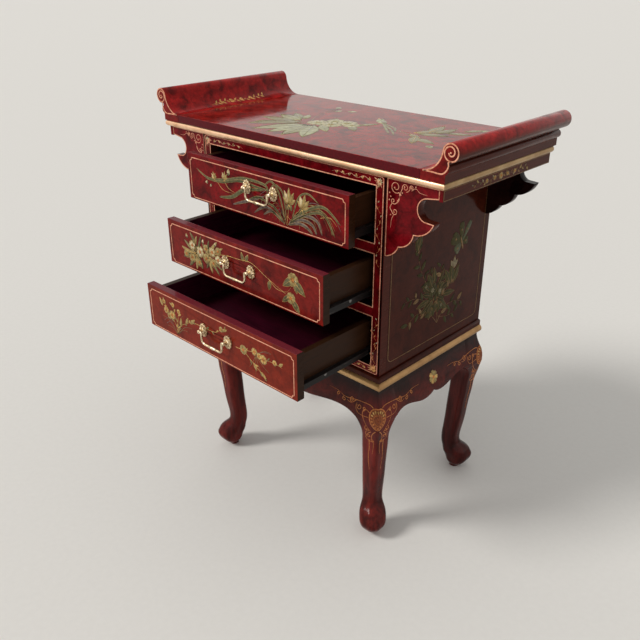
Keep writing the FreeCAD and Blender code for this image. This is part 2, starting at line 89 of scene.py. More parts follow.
# Materials
class Recipe:
    """One procedural material, with short ways to add the nodes that it needs."""

    def __init__(self, name):
        self.material = bpy.data.materials.new(name)
        self.material.use_nodes = True
        self.tree = self.material.node_tree
        self.shader = self.tree.nodes["Principled BSDF"]
        coordinates = self.node("ShaderNodeTexCoord", {})
        self.place = coordinates["Object"]
        self.facing = coordinates["Normal"]

    def put(self, socket, value):
        if isinstance(value, bpy.types.NodeSocket):
            self.tree.links.new(value, socket)
        else:
            socket.default_value = value

    def set(self, **values):
        """Shader sockets by name, with _ for a space."""
        for key, value in values.items():
            self.put(self.shader.inputs[key.replace("_", " ")], value)

    def node(self, kind, inputs, **settings):
        """The outputs of a new node with these settings and inputs."""
        node = self.tree.nodes.new(kind)
        for key, value in settings.items():
            setattr(node, key, value)
        for key, value in inputs.items():
            self.put(node.inputs[key], value)
        return node.outputs

    def noise(self, size, detail=3, roughness=0.55, distortion=0, stretch=(1, 1, 1)):
        """Noise whose features are about size millimetres, stretched along the axes."""
        scale = [1 / (size * mm * s) for s in stretch]
        inputs = {"Scale": 1, "Detail": detail, "Roughness": roughness, "Distortion": distortion}
        inputs["Vector"] = self.node("ShaderNodeMapping", {"Vector": self.place, "Scale": scale})["Vector"]
        return self.node("ShaderNodeTexNoise", inputs)["Fac"]

    def ramp(self, factor, stops):
        ramp = self.tree.nodes.new("ShaderNodeValToRGB")
        self.put(ramp.inputs["Fac"], factor)
        elements = ramp.color_ramp.elements
        while len(elements) < len(stops):
            elements.new(1)
        for element, (position, colour) in zip(elements, stops):
            element.position = position
            element.color = (*colour, 1)
        return ramp.outputs["Color"]

    def level(self, factor, low, high, start=0, end=1):
        """A number that goes from low to high as factor goes from start to end."""
        inputs = {"Value": factor, "From Min": start, "From Max": end, "To Min": low, "To Max": high}
        return self.node("ShaderNodeMapRange", inputs)["Result"]

    def mix(self, factor, first, second, blend="MIX"):
        inputs = {0: factor}
        for key, colour in ((6, first), (7, second)):
            inputs[key] = colour if isinstance(colour, bpy.types.NodeSocket) else (*colour, 1)
        return self.node("ShaderNodeMix", inputs, data_type="RGBA", blend_type=blend)[2]

    def math(self, operation, first, second=0):
        return self.node("ShaderNodeMath", {0: first, 1: second}, operation=operation)[0]

    def axes(self, vector):
        return self.node("ShaderNodeSeparateXYZ", {0: vector})

    def bump(self, height, depth, strength=0.5):
        """Height in millimetres of depth at the most."""
        inputs = {"Strength": strength, "Distance": depth * mm, "Height": height}
        self.set(Normal=self.node("ShaderNodeBump", inputs)["Normal"])


def outer_side(recipe):
    """1 on faces that look away from the middle along X."""
    outwards = recipe.math("SIGN", recipe.axes(recipe.place)[0])
    product = recipe.math("MULTIPLY", outwards, recipe.axes(recipe.facing)[0])
    return recipe.math("GREATER_THAN", product, 0.5)


def front_side(recipe):
    """1 on faces that look to the front."""
    return recipe.math("LESS_THAN", recipe.axes(recipe.facing)[1], -0.5)


def front_or_back(recipe):
    """1 on faces that look to the front or the back."""
    return recipe.math("GREATER_THAN", recipe.math("ABSOLUTE", recipe.axes(recipe.facing)[1]), 0.5)


def not_ends(recipe):
    """1 on faces that don't look along X."""
    return recipe.math("LESS_THAN", recipe.math("ABSOLUTE", recipe.axes(recipe.facing)[0]), 0.5)


def upper_side(recipe):
    """1 on faces that look up."""
    return recipe.math("GREATER_THAN", recipe.axes(recipe.facing)[2], 0.5)


def falling(recipe, fade):
    """1 below the fade's lower level, falling to 0 at its upper one."""
    return recipe.level(recipe.axes(recipe.place)[2], 1, 0, *[level * mm for level in fade])


def below_beads(recipe):
    """1 on the stand, falling to 0 at its top, where painted shade takes over."""
    return falling(recipe, stand_fade)


def roll_and_sweep(recipe):
    """0 on the moulded outside of an upturned end, which takes painted shade, rising to 1 over its roll."""
    across = recipe.math("ABSOLUTE", recipe.axes(recipe.place)[0])
    outside = recipe.math("GREATER_THAN", across, roll_inner_edge * mm)
    low = recipe.math("MULTIPLY", outside, falling(recipe, roll_fade))
    end = recipe.math("SUBTRACT", 1, front_or_back(recipe))
    return recipe.math("SUBTRACT", 1, recipe.math("MULTIPLY", low, end))


def scaled(colour, share):
    return tuple(min(1, share * c) for c in colour)


def lacquer(name, red, shown=None, hidden=(0.006, 0.004, 0.004), roughness=0.13, gloss=0.08, dull=0.4,
            stretch=(1, 1, 1), front_share=1, contrast=1, crown=None):
    """Glossy lacquer with soft clouds and fine flecks; where shown is given, other faces take the hidden colour
    with a long grain:
    the drawer ends' dark brown, near black on inner faces, or painted shade where a shaded brown or black is
    given;
    where crown is given, upper faces have that colour, a painted reflection on the drawer fronts."""
    recipe = Recipe(name)
    dark = scaled(red, 1 - 0.66 * contrast)
    cloud = recipe.noise(32, 4, 0.6, 0.6, stretch)
    fleck = recipe.noise(6, 4, 0.62, 0.6, stretch)
    colour = recipe.ramp(cloud, [(0.34, dark), (0.5, red), (0.68, scaled(red, 1 + 0.5 * contrast))])
    colour = recipe.mix(recipe.level(fleck, 0, 0.6, 0.45, 0.7), colour, dark)
    rough = recipe.level(recipe.noise(30, 4), roughness * 0.7, roughness * 1.5, 0.35, 0.65)
    # crown tints upper faces; on the drawer fronts this is a painted reflection.
    if crown:
        colour = recipe.mix(upper_side(recipe), colour, crown)
    # Front and back faces are darkened by front_share; the upturned ends use it to pull their fronts below the
    # painted light of their hollows.
    if front_share < 1:
        colour = recipe.mix(front_or_back(recipe), colour, [front_share] * 3, "MULTIPLY")
    # Faces outside the mask take the grained hidden colour; for the shaded browns and black this is painted
    # shade.
    if shown:
        mask = shown(recipe)
        grain = recipe.noise(4, 4, 0.6, 0.3, (1, 14, 1))
        stain_and_shade = recipe.ramp(grain, [(0.35, hidden), (0.7, scaled(hidden, 1.5))])
        colour = recipe.mix(mask, stain_and_shade, colour)
        rough = recipe.math("ADD", rough, recipe.level(mask, dull, 0))
    recipe.set(Base_Color=colour, Roughness=rough, IOR=1.5, Specular_IOR_Level=gloss)
    recipe.bump(recipe.noise(9, 2), 0.06)
    return recipe.material


def stand_lacquer(name, red, stretch=(1, 1, 1)):
    """The stand's lacquer, with painted shade that darkens it to black under the beads."""
    return lacquer(name, red, below_beads, stand_shade_black, 0.1, 0.14, 0, stretch)


def paint(name, colour, shade, metallic=0.1, roughness=0.4, gloss=0.2, patch=6):
    """Brushed paint or gold powder that varies in tone, thins to its shade and has a fine tooth."""
    recipe = Recipe(name)
    tone = recipe.noise(patch, 4, 0.6, 0.4)
    thin = recipe.noise(1.6, 3, 0.65)
    body = recipe.ramp(tone, [(0.32, shade), (0.56, colour), (0.8, scaled(colour, 1.25))])
    body = recipe.mix(recipe.level(thin, 0, 0.55, 0.55, 0.75), body, shade)
    recipe.set(Base_Color=body, Metallic=metallic, Specular_IOR_Level=gloss)
    recipe.set(Roughness=recipe.level(tone, roughness * 0.8, roughness * 1.3, 0.3, 0.7))
    recipe.bump(thin, 0.12)
    return recipe.material


def gilding(name, gold, worn, bole, end_shade):
    """Burnished gold leaf: bright on the round, with painted shade that makes it duller at the outward ends,
    rubbed in places to the red ground.
    """
    recipe = Recipe(name)
    tone = recipe.noise(40, 4, 0.6, 0.5)
    rub = recipe.noise(7, 5, 0.68, 0.4)
    colour = recipe.ramp(tone, [(0.3, worn), (0.6, gold)])
    # Outward-facing ends are darkened by a share: painted shade.
    colour = recipe.mix(outer_side(recipe), colour, end_shade, "MULTIPLY")
    colour = recipe.mix(recipe.level(rub, 0, 0.75, 0.63, 0.76), colour, bole)
    recipe.set(Base_Color=colour, Metallic=recipe.level(rub, 0.5, 0.1, 0.62, 0.76))
    recipe.set(Roughness=recipe.level(tone, 0.42, 0.26, 0.3, 0.7))
    recipe.bump(recipe.noise(5, 3), 0.08, 0.6)
    return recipe.material


def stained_wood(name, dark, light, outside=None, stretch=(1, 14, 1)):
    """Stained wood with long grain; where outside is given, outer and upper faces have that colour."""
    recipe = Recipe(name)
    grain = recipe.noise(3.5, 5, 0.6, 0.6, stretch)
    cloud = recipe.noise(60, 2)
    colour = recipe.ramp(grain, [(0.3, dark), (0.7, light)])
    colour = recipe.mix(recipe.level(cloud, 0, 0.4, 0.4, 0.65), colour, dark)
    if outside:
        veil = recipe.ramp(grain, [(0.3, outside), (0.7, scaled(outside, 1.7))])
        cover = recipe.math("MAXIMUM", outer_side(recipe), upper_side(recipe))
        colour = recipe.mix(cover, colour, veil)
    recipe.set(Base_Color=colour, Specular_IOR_Level=0.1)
    recipe.set(Roughness=recipe.level(grain, 0.34, 0.5, 0.3, 0.7))
    recipe.bump(grain, 0.12)
    return recipe.material


def enamelled_steel(name, colour, bare):
    """Brown baked enamel, rubbed to bare metal in streaks along the run."""
    recipe = Recipe(name)
    streak = recipe.noise(2, 4, 0.6, 0.2, (1, 30, 1))
    rub = recipe.level(streak, 0, 0.8, 0.62, 0.74)
    recipe.set(Base_Color=recipe.mix(rub, colour, bare), Metallic=recipe.level(rub, 0.2, 0.9))
    recipe.set(Roughness=recipe.level(streak, 0.3, 0.45, 0.3, 0.7), Specular_IOR_Level=0.2)
    recipe.bump(streak, 0.05, 0.4)
    return recipe.material


def toned(name, grain, stops, rough, metallic=0, tooth=None, depth=0):
    """One tone that varies with its grain, smoother or rougher with it and, where tooth is given, uneven."""
    recipe = Recipe(name)
    tone = recipe.noise(*grain)
    recipe.set(Base_Color=recipe.ramp(tone, stops), Metallic=metallic)
    recipe.set(Roughness=recipe.level(tone, *rough, 0.35, 0.65))
    if tooth:
        recipe.bump(recipe.noise(*tooth), depth)
    return recipe.material


case_red = (0.150, 0.0035, 0.0065)
# The two browns below are painted shade: darker, browner copies of the red lacquer for faces that look
# sideways.
shaded_panel_brown = (0.055, 0.0105, 0.0058)
shaded_side_brown = (0.052, 0.0094, 0.0044)
edge_red = (0.080, 0.0022, 0.0055)
# A cool crimson for the drawer fronts' upper edges: a painted reflection.
edge_reflection_red = (0.155, 0.019, 0.030)
# Painted shade under the beads of the stand.
stand_shade_black = (0.009, 0.002, 0.0015)
drawer_brown = (0.022, 0.0085, 0.0036)
drawer_reds = {
    "top": (0.162, 0.0038, 0.005), "middle": (0.172, 0.011, 0.008), "bottom": (0.194, 0.019, 0.008),
}
drawer_clouds = {"top": 1, "middle": 0.8, "bottom": 0.55}
rail_lacquer = lacquer("rail_lacquer", case_red, front_side)
# The upturned ends: a brighter red that is painted light on the hollows, front and back faces darkened to half,
# and the shaded panel brown on the lower outside as painted shade.
scroll_lacquer = lacquer(
    "scroll_lacquer", (0.360, 0.014, 0.013), roll_and_sweep, shaded_panel_brown, gloss=0.1, dull=0.1,
    front_share=0.5)
black_wood = stained_wood("black_wood", (0.006, 0.005, 0.005), (0.018, 0.013, 0.011))
plum_wood = stained_wood("plum_wood", (0.036, 0.002, 0.012), (0.100, 0.005, 0.030), drawer_brown)
plum_panel = stained_wood("plum_panel", (0.020, 0.002, 0.006), (0.064, 0.004, 0.016), None, (14, 1, 1))
runner_steel = enamelled_steel("runner_steel", (0.011, 0.009, 0.009), (0.20, 0.18, 0.17))
# The base bead's gilding is a darker copy of the top bead's: painted shade.
bead_gold = gilding(
    "bead_gold", (0.92, 0.60, 0.38), (0.64, 0.36, 0.19), (0.16, 0.03, 0.015), (0.45, 0.45, 0.31))
shaded_base_gold = gilding(
    "shaded_base_gold", (0.56, 0.34, 0.14), (0.40, 0.22, 0.08), (0.12, 0.03, 0.015), (0.85, 0.80, 0.75))
steel = ((1.5, 4), [(0.35, (0.14, 0.135, 0.13)), (0.65, (0.30, 0.29, 0.28))], (0.25, 0.45), 1)
screw_metal = toned("screw_steel", *steel)
nylon_tones = [(0.35, (0.55, 0.53, 0.47)), (0.7, (0.76, 0.75, 0.70))]
roller_nylon = toned("roller_nylon", (2.5, 4), nylon_tones, (0.35, 0.55), 0, (2.5, 4), 0.05)
brass_tones = [(0.34, (0.24, 0.16, 0.09)), (0.5, (0.72, 0.57, 0.37)), (0.7, (0.95, 0.83, 0.63))]
brass_metal = toned("brass", (5, 5, 0.65, 0.3), brass_tones, (0.45, 0.22), 1, (1.2, 2), 0.1)
palette = {
    "line": paint("line_gold", (0.88, 0.42, 0.27), (0.52, 0.18, 0.09)),
    "gold": paint("leaf_gold", (0.66, 0.43, 0.15), (0.34, 0.18, 0.05), 0.3, 0.38),
    "amber": paint("amber_gold", (0.62, 0.23, 0.065), (0.34, 0.09, 0.02), 0.2, 0.38),
    "cream": paint("cream_petal", (0.66, 0.57, 0.36), (0.40, 0.28, 0.12), 0.1, 0.42),
    "petal": paint("ochre_petal", (0.40, 0.30, 0.12), (0.21, 0.13, 0.04), 0.15, 0.42),
    "leaf": paint("grey_green_leaf", (0.16, 0.15, 0.070), (0.070, 0.055, 0.025), 0.05, 0.45),
    "moss": paint("moss_leaf", (0.080, 0.090, 0.040), (0.038, 0.036, 0.015), 0.05, 0.45),
    "slate": paint("slate_leaf", (0.21, 0.155, 0.145), (0.095, 0.058, 0.052), 0.05, 0.45),
    "sage": paint("sage_leaf", (0.36, 0.34, 0.15), (0.20, 0.18, 0.07), 0, 0.14, 0.15, 16),
    "mist": paint("mist_leaf", (0.25, 0.215, 0.095), (0.15, 0.12, 0.05), 0, 0.14, 0.15, 16),
    "pale": paint("pale_leaf", (0.44, 0.44, 0.24), (0.26, 0.24, 0.11), 0, 0.14, 0.15, 16),
    "ivory": paint("ivory_petal", (0.62, 0.55, 0.32), (0.36, 0.29, 0.13), 0, 0.14, 0.15, 8),
    # The fern and shade greens and the dusk petals are darkened for the sideways panels and end rails, as
    # painted shade; the bronze lines there dim the gold the same way.
    "fern": paint("shaded_fern_leaf", (0.066, 0.060, 0.022), (0.036, 0.028, 0.010), 0.05, 0.5, 0.08),
    "shade": paint("shade_leaf", (0.044, 0.038, 0.014), (0.026, 0.019, 0.007), 0.05, 0.5, 0.08),
    "bronze": paint("bronze_line", (0.24, 0.14, 0.060), (0.12, 0.060, 0.024), 0.1, 0.5),
    "dusk": paint("shaded_dusk_petal", (0.26, 0.22, 0.14), (0.14, 0.11, 0.06), 0.05, 0.5),
    # The bright gold is a lit copy of the leaf gold: painted light on the hollows of the upturned ends.
    "bright": paint("bright_gold", (0.95, 0.56, 0.19), (0.62, 0.29, 0.07)),
    "russet": paint("russet_ground", (0.24, 0.056, 0.014), (0.13, 0.026, 0.007)),
    # This black paint serves for the bird's eye and for painted shadow bands where the stiles meet the
    # brackets.
    "black_and_shadow": paint("black_and_shadow_line", (0.008, 0.003, 0.003), (0.004, 0.002, 0.002), 0, 0.6, 0),
}
colours = list(palette)


def by_name(groups):
    """A value for each name, from pairs of a value and the names that have it."""
    return {name: value for value, names in groups for name in names.split()}


finishes = by_name([
    (lacquer("top_lacquer", (0.265, 0.012, 0.008), upper_side, edge_red, 0.09, 0.12, 0.04), "top_panel"),
    (scroll_lacquer, "scroll_end_left scroll_end_right"),
    (lacquer("front_lacquer", case_red), "under_top_board"),
    # End rails and front brackets take the shaded panel brown on faces that don't look to the front or back,
    # and stiles on faces that don't look to the front; the side panels are in the shaded side brown. All of
    # this is painted shade. The base boards use the same side brown.
    (lacquer("end_rail_lacquer", case_red, front_or_back, shaded_panel_brown, dull=0), "end_rails"),
    (lacquer("bracket_lacquer", case_red, front_or_back, shaded_panel_brown, dull=0.1), "brackets_front"),
    # The rear brackets are near black: painted shade where the case and the top shade them.
    (lacquer("shaded_black_lacquer", (0.012, 0.003, 0.0024)), "brackets_rear"),
    (lacquer("side_lacquer", shaded_side_brown, outer_side, contrast=0.55), "side_left side_right"),
    (lacquer("stile_lacquer", (0.130, 0.003, 0.005), front_side, shaded_panel_brown, dull=0.1), "stiles"),
    (rail_lacquer, "top_rail dividers bottom_rail"),
    (lacquer("base_lacquer", shaded_side_brown, contrast=0.55), "plinth_board base_board"),
    # The aprons take a darker red than the front legs: painted shade under the case.
    (stand_lacquer("apron_lacquer", (0.085, 0.0085, 0.0055)), "aprons_long aprons_side"),
    (stand_lacquer("leg_lacquer", (0.125, 0.0110, 0.0080), (1, 1, 5)), "legs_front"),
    # The rear legs take a darker red than the front legs: painted shade.
    (stand_lacquer("shaded_rear_leg_lacquer", (0.066, 0.0078, 0.0060), (1, 1, 5)), "legs_rear"),
    (bead_gold, "top_bead"), (shaded_base_gold, "base_bead"), (runner_steel, "case_runners"),
    (black_wood, "bottom_panel back_panel top_cleats corner_blocks"),
    (toned("case_screw_steel", *steel), "case_screws"),
])
drawer_finishes = by_name([
    (plum_wood, "drawer_sides"), (plum_panel, "drawer_back drawer_bottom"), (runner_steel, "drawer_runners"),
    (screw_metal, "runner_screws"), (roller_nylon, "drawer_rollers case_rollers"),
    (brass_metal, "rosettes handle_posts bail"),
])
for drawer in drawers:
    # Drawer fronts: dark ends, and a painted reflection on their upper edges.
    finishes["drawer_front_" + drawer] = lacquer(
        "lacquer_" + drawer, drawer_reds[drawer], not_ends, drawer_brown, dull=0.1,
        contrast=drawer_clouds[drawer], crown=edge_reflection_red)
    for part, finish in drawer_finishes.items():
        finishes[part + "_" + drawer] = finish

# Rounded edges, in millimetres
edge_rounding = by_name([
    (0.5, "stiles side_left side_right"), (0.6, "end_rails plinth_board"),
    (0.8, "scroll_end_left scroll_end_right brackets_front brackets_rear"),
    (1.2, "drawer_front_top drawer_front_middle drawer_front_bottom"),
    (1.5, "top_panel"), (1.6, "legs_front legs_rear"),
])
edge_angle = math.radians(40)
weld_distance = 0.00001


def dress_nodes():
    for name, node in nodes.items():
        node.data.materials.clear()
        node.data.materials.append(finishes[name])
        if name in edge_rounding:
            weld = node.modifiers.new("weld", "WELD")
            weld.merge_threshold = weld_distance
            bevel = node.modifiers.new("edges", "BEVEL")
            bevel.width = edge_rounding[name] * mm
            bevel.segments = 3
            bevel.limit_method = "ANGLE"
            bevel.angle_limit = edge_angle
            bevel.harden_normals = True


def place(name, data):
    """A new object in the scene."""
    piece = bpy.data.objects.new(name, data)
    bpy.context.scene.collection.objects.link(piece)
    return piece


# Painting on faces
class Painting:
    """Raised painting on one face, flat or draped over curved nodes: one object of closed strips and mounds."""

    def __init__(self, name, origin, out, drape=(), body="cabinet", up=up_way, relief=1):
        self.name = name
        self.body = body
        self.origin = Vector(origin)
        self.out = Vector(out).normalized()
        self.up = Vector(up)
        self.right = self.up.cross(self.out)
        self.relief = relief
        self.points = []
        self.faces = []
        self.tints = []
        self.trees = []
        for node in drape:
            mesh = nodes[node].data
            points = [vertex.co.copy() for vertex in mesh.vertices]
            self.trees.append(BVHTree.FromPolygons(points, [tuple(p.vertices) for p in mesh.polygons]))

    def at(self, u, w, height):
        """Where a point of the drawing is, lifted off the face by its height."""
        point = self.origin + (self.right * u + self.up * w) * mm
        normal = self.out
        start = point + self.out * drape_reach * mm
        nearest = None
        for tree in self.trees:
            hit, side, index, distance = tree.ray_cast(start, -self.out)
            if hit is not None and (nearest is None or distance < nearest):
                nearest = distance
                point = hit
                normal = side
        return point + normal * height * mm

    def add(self, colour, points, faces):
        first = len(self.points)
        self.points += [self.at(u, w, self.relief * lift) for u, w, lift in points]
        self.faces += [[first + index for index in face] for face in faces]
        self.tints += [colours.index(colour)] * len(faces)

    def strip(self, colour, path, width, coats=1, taper=None, closed=False):
        """A low ridge along a path; taper gives its width's share from start to end."""
        path = tidy_path(path, drape_step if self.trees else None)
        count = len(path)
        height = coats * paint_height
        profile = ((-1, -paint_sink), (-ridge_flat, height), (ridge_flat, height), (1, -paint_sink))
        points = []
        for index, (u, w) in enumerate(path):
            before = path[index - 1] if closed or index else path[0]
            after = path[(index + 1) % count] if closed or index < count - 1 else path[-1]
            side = offset_side(before, (u, w), after)
            share = taper(index / (count - 1)) if taper else 1
            half = 0.5 * width * max(share, thinnest_share)
            for reach, lift in profile:
                points.append((u + side[0] * half * reach, w + side[1] * half * reach, lift))
        faces = []
        for index in range(count if closed else count - 1):
            here = 4 * index
            there = 4 * ((index + 1) % count)
            for k in range(4):
                n = (k + 1) % 4
                faces.append([here + k, here + n, there + n, there + k])
        if not closed:
            last = 4 * (count - 1)
            faces += [[3, 2, 1, 0], [last, last + 1, last + 2, last + 3]]
        self.add(colour, points, faces)

    def ring(self, colour, path, width, coats=1):
        """A low ridge along a closed path."""
        self.strip(colour, path, width, coats, None, True)

    def patch(self, colour, outline, coats=1, crown=1.35):
        """A closed low mound with the given outline, which runs anticlockwise."""
        count = len(outline)
        height = coats * paint_height
        cu = sum(u for u, w in outline) / count
        cw = sum(w for u, w in outline) / count
        points = [(u, w, -paint_sink) for u, w in outline]
        points += [(cu + (u - cu) * mound_flat, cw + (w - cw) * mound_flat, height) for u, w in outline]
        points.append((cu, cw, height * crown))
        faces = [list(reversed(range(count)))]
        for index in range(count):
            after = (index + 1) % count
            faces.append([index, after, count + after, count + index])
            faces.append([count + index, count + after, 2 * count])
        self.add(colour, points, faces)

    def close(self, slot="gilt", finish=None):
        """Make the object; where finish is given, all of it has that material."""
        mesh = bpy.data.meshes.new(self.name)
        mesh.from_pydata(self.points, [], self.faces)
        used = sorted(set(self.tints))
        for tint in used:
            mesh.materials.append(finish or palette[colours[tint]])
        mesh.polygons.foreach_set("material_index", [used.index(tint) for tint in self.tints])
        mesh.polygons.foreach_set("use_smooth", [True] * len(self.faces))
        mesh.update()
        piece = place(self.name, mesh)
        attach(piece, self.body)


# Lines in the plane
def tidy_path(path, step=None):
    """Path without repeated points; where step is given, no part of it is longer."""
    tidy = [path[0]]
    for u, w in path[1:]:
        gap = math.dist(tidy[-1], (u, w))
        if gap < 1e-4:
            continue
        pieces = max(1, math.ceil(gap / step)) if step else 1
        u0, w0 = tidy[-1]
        for k in range(1, pieces + 1):
            tidy.append((u0 + (u - u0) * k / pieces, w0 + (w - w0) * k / pieces))
    return tidy


def offset_side(before, here, after):
    """Sideways vector at a point of a path, lengthened at corners so that the width stays even."""
    ways = []
    for a, b in ((before, here), (here, after)):
        length = math.dist(a, b)
        if length > 1e-9:
            ways.append(((b[0] - a[0]) / length, (b[1] - a[1]) / length))
    du = sum(way[0] for way in ways)
    dw = sum(way[1] for way in ways)
    length = max(math.hypot(du, dw), 1e-6)
    side = (dw / length, -du / length)
    cosine = side[0] * ways[0][1] - side[1] * ways[0][0]
    stretch = 1 / max(abs(cosine), sharpest_cosine)
    return (side[0] * stretch, side[1] * stretch)


def aside(path, index, reach):
    """A point of a path, moved sideways by reach; the path's end follows on to its start."""
    side = offset_side(path[index - 1], path[index], path[(index + 1) % len(path)])
    return (path[index][0] + side[0] * reach, path[index][1] + side[1] * reach)


def through(points, steps=8):
    """A smooth line through the points."""
    padded = [points[0], *points, points[-1]]
    line = []
    for a, b, c, d in zip(padded, padded[1:], padded[2:], padded[3:]):
        for k in range(steps):
            t = k / steps
            line.append(tuple(
                0.5 * (2 * q + (r - p) * t
                       + (2 * p - 5 * q + 4 * r - s) * t ** 2 + (3 * q - p - 3 * r + s) * t ** 3)
                for p, q, r, s in zip(a, b, c, d)))
    return line + [tuple(points[-1])]


def turn(centre, radius, start, end, steps):
    """Points on a circle, or on a spiral where radius is a pair, with angles in degrees."""
    first, last = radius if isinstance(radius, tuple) else (radius, radius)
    line = []
    for k in range(steps + 1):
        share = k / steps
        angle = math.radians(start + (end - start) * share)
        reach = first + (last - first) * share
        line.append((centre[0] + reach * math.cos(angle), centre[1] + reach * math.sin(angle)))
    return line


def flip(path, sign, middle=0):
    """The path as distances from the middle, or its mirror image."""
    return [(sign * (u - middle), w) for u, w in path]


def spindle(t):
    return math.sin(math.pi * (0.06 + 0.9 * t)) ** 0.8


def whip(t):
    return 1 - 0.75 * t


def move(shape, at, angle, size=1):
    """Shape turned by degrees about its own origin, scaled and set at a place."""
    c = math.cos(math.radians(angle)) * size
    s = math.sin(math.radians(angle)) * size
    return [(at[0] + u * c - w * s, at[1] + u * s + w * c) for u, w in shape]


# Plants
def leaf_outline(length, width):
    lower = []
    for k in range(leaf_points + 1):
        t = k / leaf_points
        lower.append((length * t, -0.5 * width * math.sin(math.pi * t ** 0.8) ** 0.9))
    return lower + [(u, -w) for u, w in lower[-2:0:-1]]


def petal_outline(length, width):
    """A petal from the origin outwards, broad near its end, with a small dip there."""
    lower = []
    for k in range(petal_points):
        t = k / petal_points
        swell = math.sin(math.pi * 0.5 * min(1, 1.35 * t)) ** 1.3
        lower.append((length * t, -0.5 * width * (0.22 + 0.78 * swell)))
    lower += [(length * 0.97, -0.34 * width), (length, -0.14 * width)]
    return lower + [(length * 0.93, 0)] + [(u, -w) for u, w in lower[::-1]]


def leaf(art, at, angle, length, width, colour="leaf", vein="gold"):
    """A leaf with a vein, and an outline where it is large."""
    shape = move(leaf_outline(length, width), at, angle)
    art.patch(colour, shape)
    middle = move([(0, 0), (0.5 * length, 0), (0.94 * length, 0)], at, angle)
    art.strip(vein, middle, max(finest_vein, 0.1 * width), 1.9, whip)
    if length > outlined_leaf:
        art.ring(vein, shape, outline_width)


def blade(art, points, width, colour, vein="gold", edge=None):
    """A long arching leaf with a lit middle and, where edge is given, a fine line along both its sides."""
    line = through(points, 7)
    last = len(line) - 1
    art.strip(colour, line, width, 1, spindle)
    art.strip(vein, line[1:-1], max(finest_vein, 0.2 * width), 1.7, whip)
    if edge:
        for sign in (-1, 1):
            rim = [aside(line, k, 0.46 * sign * width * spindle(k / last)) for k in range(1, last)]
            art.strip(edge, rim, outline_width, 1.3)


def blossom(art, at, radius, petals, turned, colour, rim="petal", heart="amber"):
    """A flower with separate petals, a rim under them and a dotted heart."""
    width = 1.5 * radius * math.sin(math.pi / petals)
    for k in range(petals):
        angle = turned + 360 * k / petals
        art.patch(rim, move(petal_outline(1.12 * radius, 1.3 * width), at, angle), 0.6, 1)
        art.patch(colour, move(petal_outline(0.96 * radius, 0.9 * width), at, angle), 1.1, 1.5)
    for spot in [at] + turn(at, 0.26 * radius, turned, turned + 300, 5):
        dot(art, spot, 0.12 * radius, heart, 2.6)


def dot(art, at, radius, colour, coats=1.4):
    art.patch(colour, turn(at, radius, 0, 315, 7), coats)


def bud(art, at, angle, size, colour="cream", calyx="leaf"):
    art.patch(colour, move(leaf_outline(size, 0.62 * size), at, angle), 1.2)
    art.patch(calyx, move(leaf_outline(0.5 * size, 0.5 * size), at, angle), 1.5)


def iris(art, at, size, angle):
    """A tall flower: a fan of standing petals and two that fall."""
    fan = [(150, 0.5, "leaf"), (-150, 0.5, "leaf"), (56, 0.7, "petal"), (-56, 0.7, "petal")]
    fan += [(28, 0.95, "cream"), (-28, 0.95, "petal"), (0, 1.1, "petal")]
    for lean, length, colour in fan:
        shape = leaf_outline(length * size, 0.34 * size)
        art.patch(colour, move(shape, at, angle + lean), 1.5 - abs(lean) / 150)
        vein = move([(0, 0), (0.85 * length * size, 0)], at, angle + lean)
        art.strip("gold", vein, 0.07 * size, 2.2, whip)


def stem(art, points, width, colour="gold"):
    line = through(points)
    art.strip(colour, line, width, 0.8, whip)
    return line


def leafy(art, line, spacing, length, draw, tints, spread, vein="gold"):
    """Leaves on both sides of a line, each turned and sized a little differently."""
    run = 0
    side = 1
    for a, b in zip(line, line[1:]):
        run += math.dist(a, b)
        if run > spacing:
            run = 0
            side = -side
            way = math.degrees(math.atan2(b[1] - a[1], b[0] - a[0]))
            size = length * draw.uniform(0.7, 1.15)
            angle = way + side * draw.uniform(0.6, 1.2) * spread
            leaf(art, b, angle, size, size * draw.uniform(0.32, 0.46), draw.choice(tints), vein)


def scrolls(art, colour, rows, width, sign):
    """Lines that run in along their leads and end in spirals with round eyes."""
    for *lead, centre, radius, start, sweep in rows:
        spiral = turn(centre, (radius, 0.3 * radius), start, start + sweep, 24)
        path = flip(through(lead + [spiral[0]], 6)[:-1] + spiral, sign)
        art.strip(colour, path, width)
        dot(art, path[-1], width, colour)


def corner_shape(size, cusped):
    """A border's corner as distances in from both edges: round, or two shoulders that meet in a cusp."""
    angles = [math.radians(15 * k) for k in range(7)]
    if not cusped:
        return [(size - size * math.sin(t), size - size * math.cos(t)) for t in angles]
    long = 0.59 * size
    shoulder = [(size - (size - long) * math.sin(t), long - long * math.cos(t)) for t in angles]
    return shoulder + [(w, u) for u, w in shoulder[-2::-1]]


def frame_line(art, left, low, right, high, corner, width=line_width, colour="line", cusped=False):
    """A closed border with round or cusped corners."""
    path = []
    corners = ((right, low, -1, 1), (right, high, -1, -1), (left, high, 1, -1), (left, low, 1, 1))
    for index, (u, w, du, dw) in enumerate(corners):
        shape = corner_shape(corner, cusped)
        if index % 2:
            shape.reverse()
        path += [(u + du * a, w + dw * c) for a, c in shape]
    art.ring(colour, path, width)


# Drawer fronts
grass_blades = 8
grass_tints = ("petal", "slate", "bronze")
fan_tints = ("leaf", "petal", "moss")
border_inset = 8.0
border_top_inset = 8.5
border_low_inset = 3.6
border_corner = 7.5


def drawer_painting(name):
    low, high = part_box("drawer_front_" + name)
    art = Painting("painting_drawer_" + name, (0, low.y, low.z), front_way, body="drawer_" + name)
    half = high.x / mm - border_inset
    tall = (high.z - low.z) / mm
    frame_line(art, -half, border_low_inset, half, tall - border_top_inset, border_corner, cusped=True)
    return art


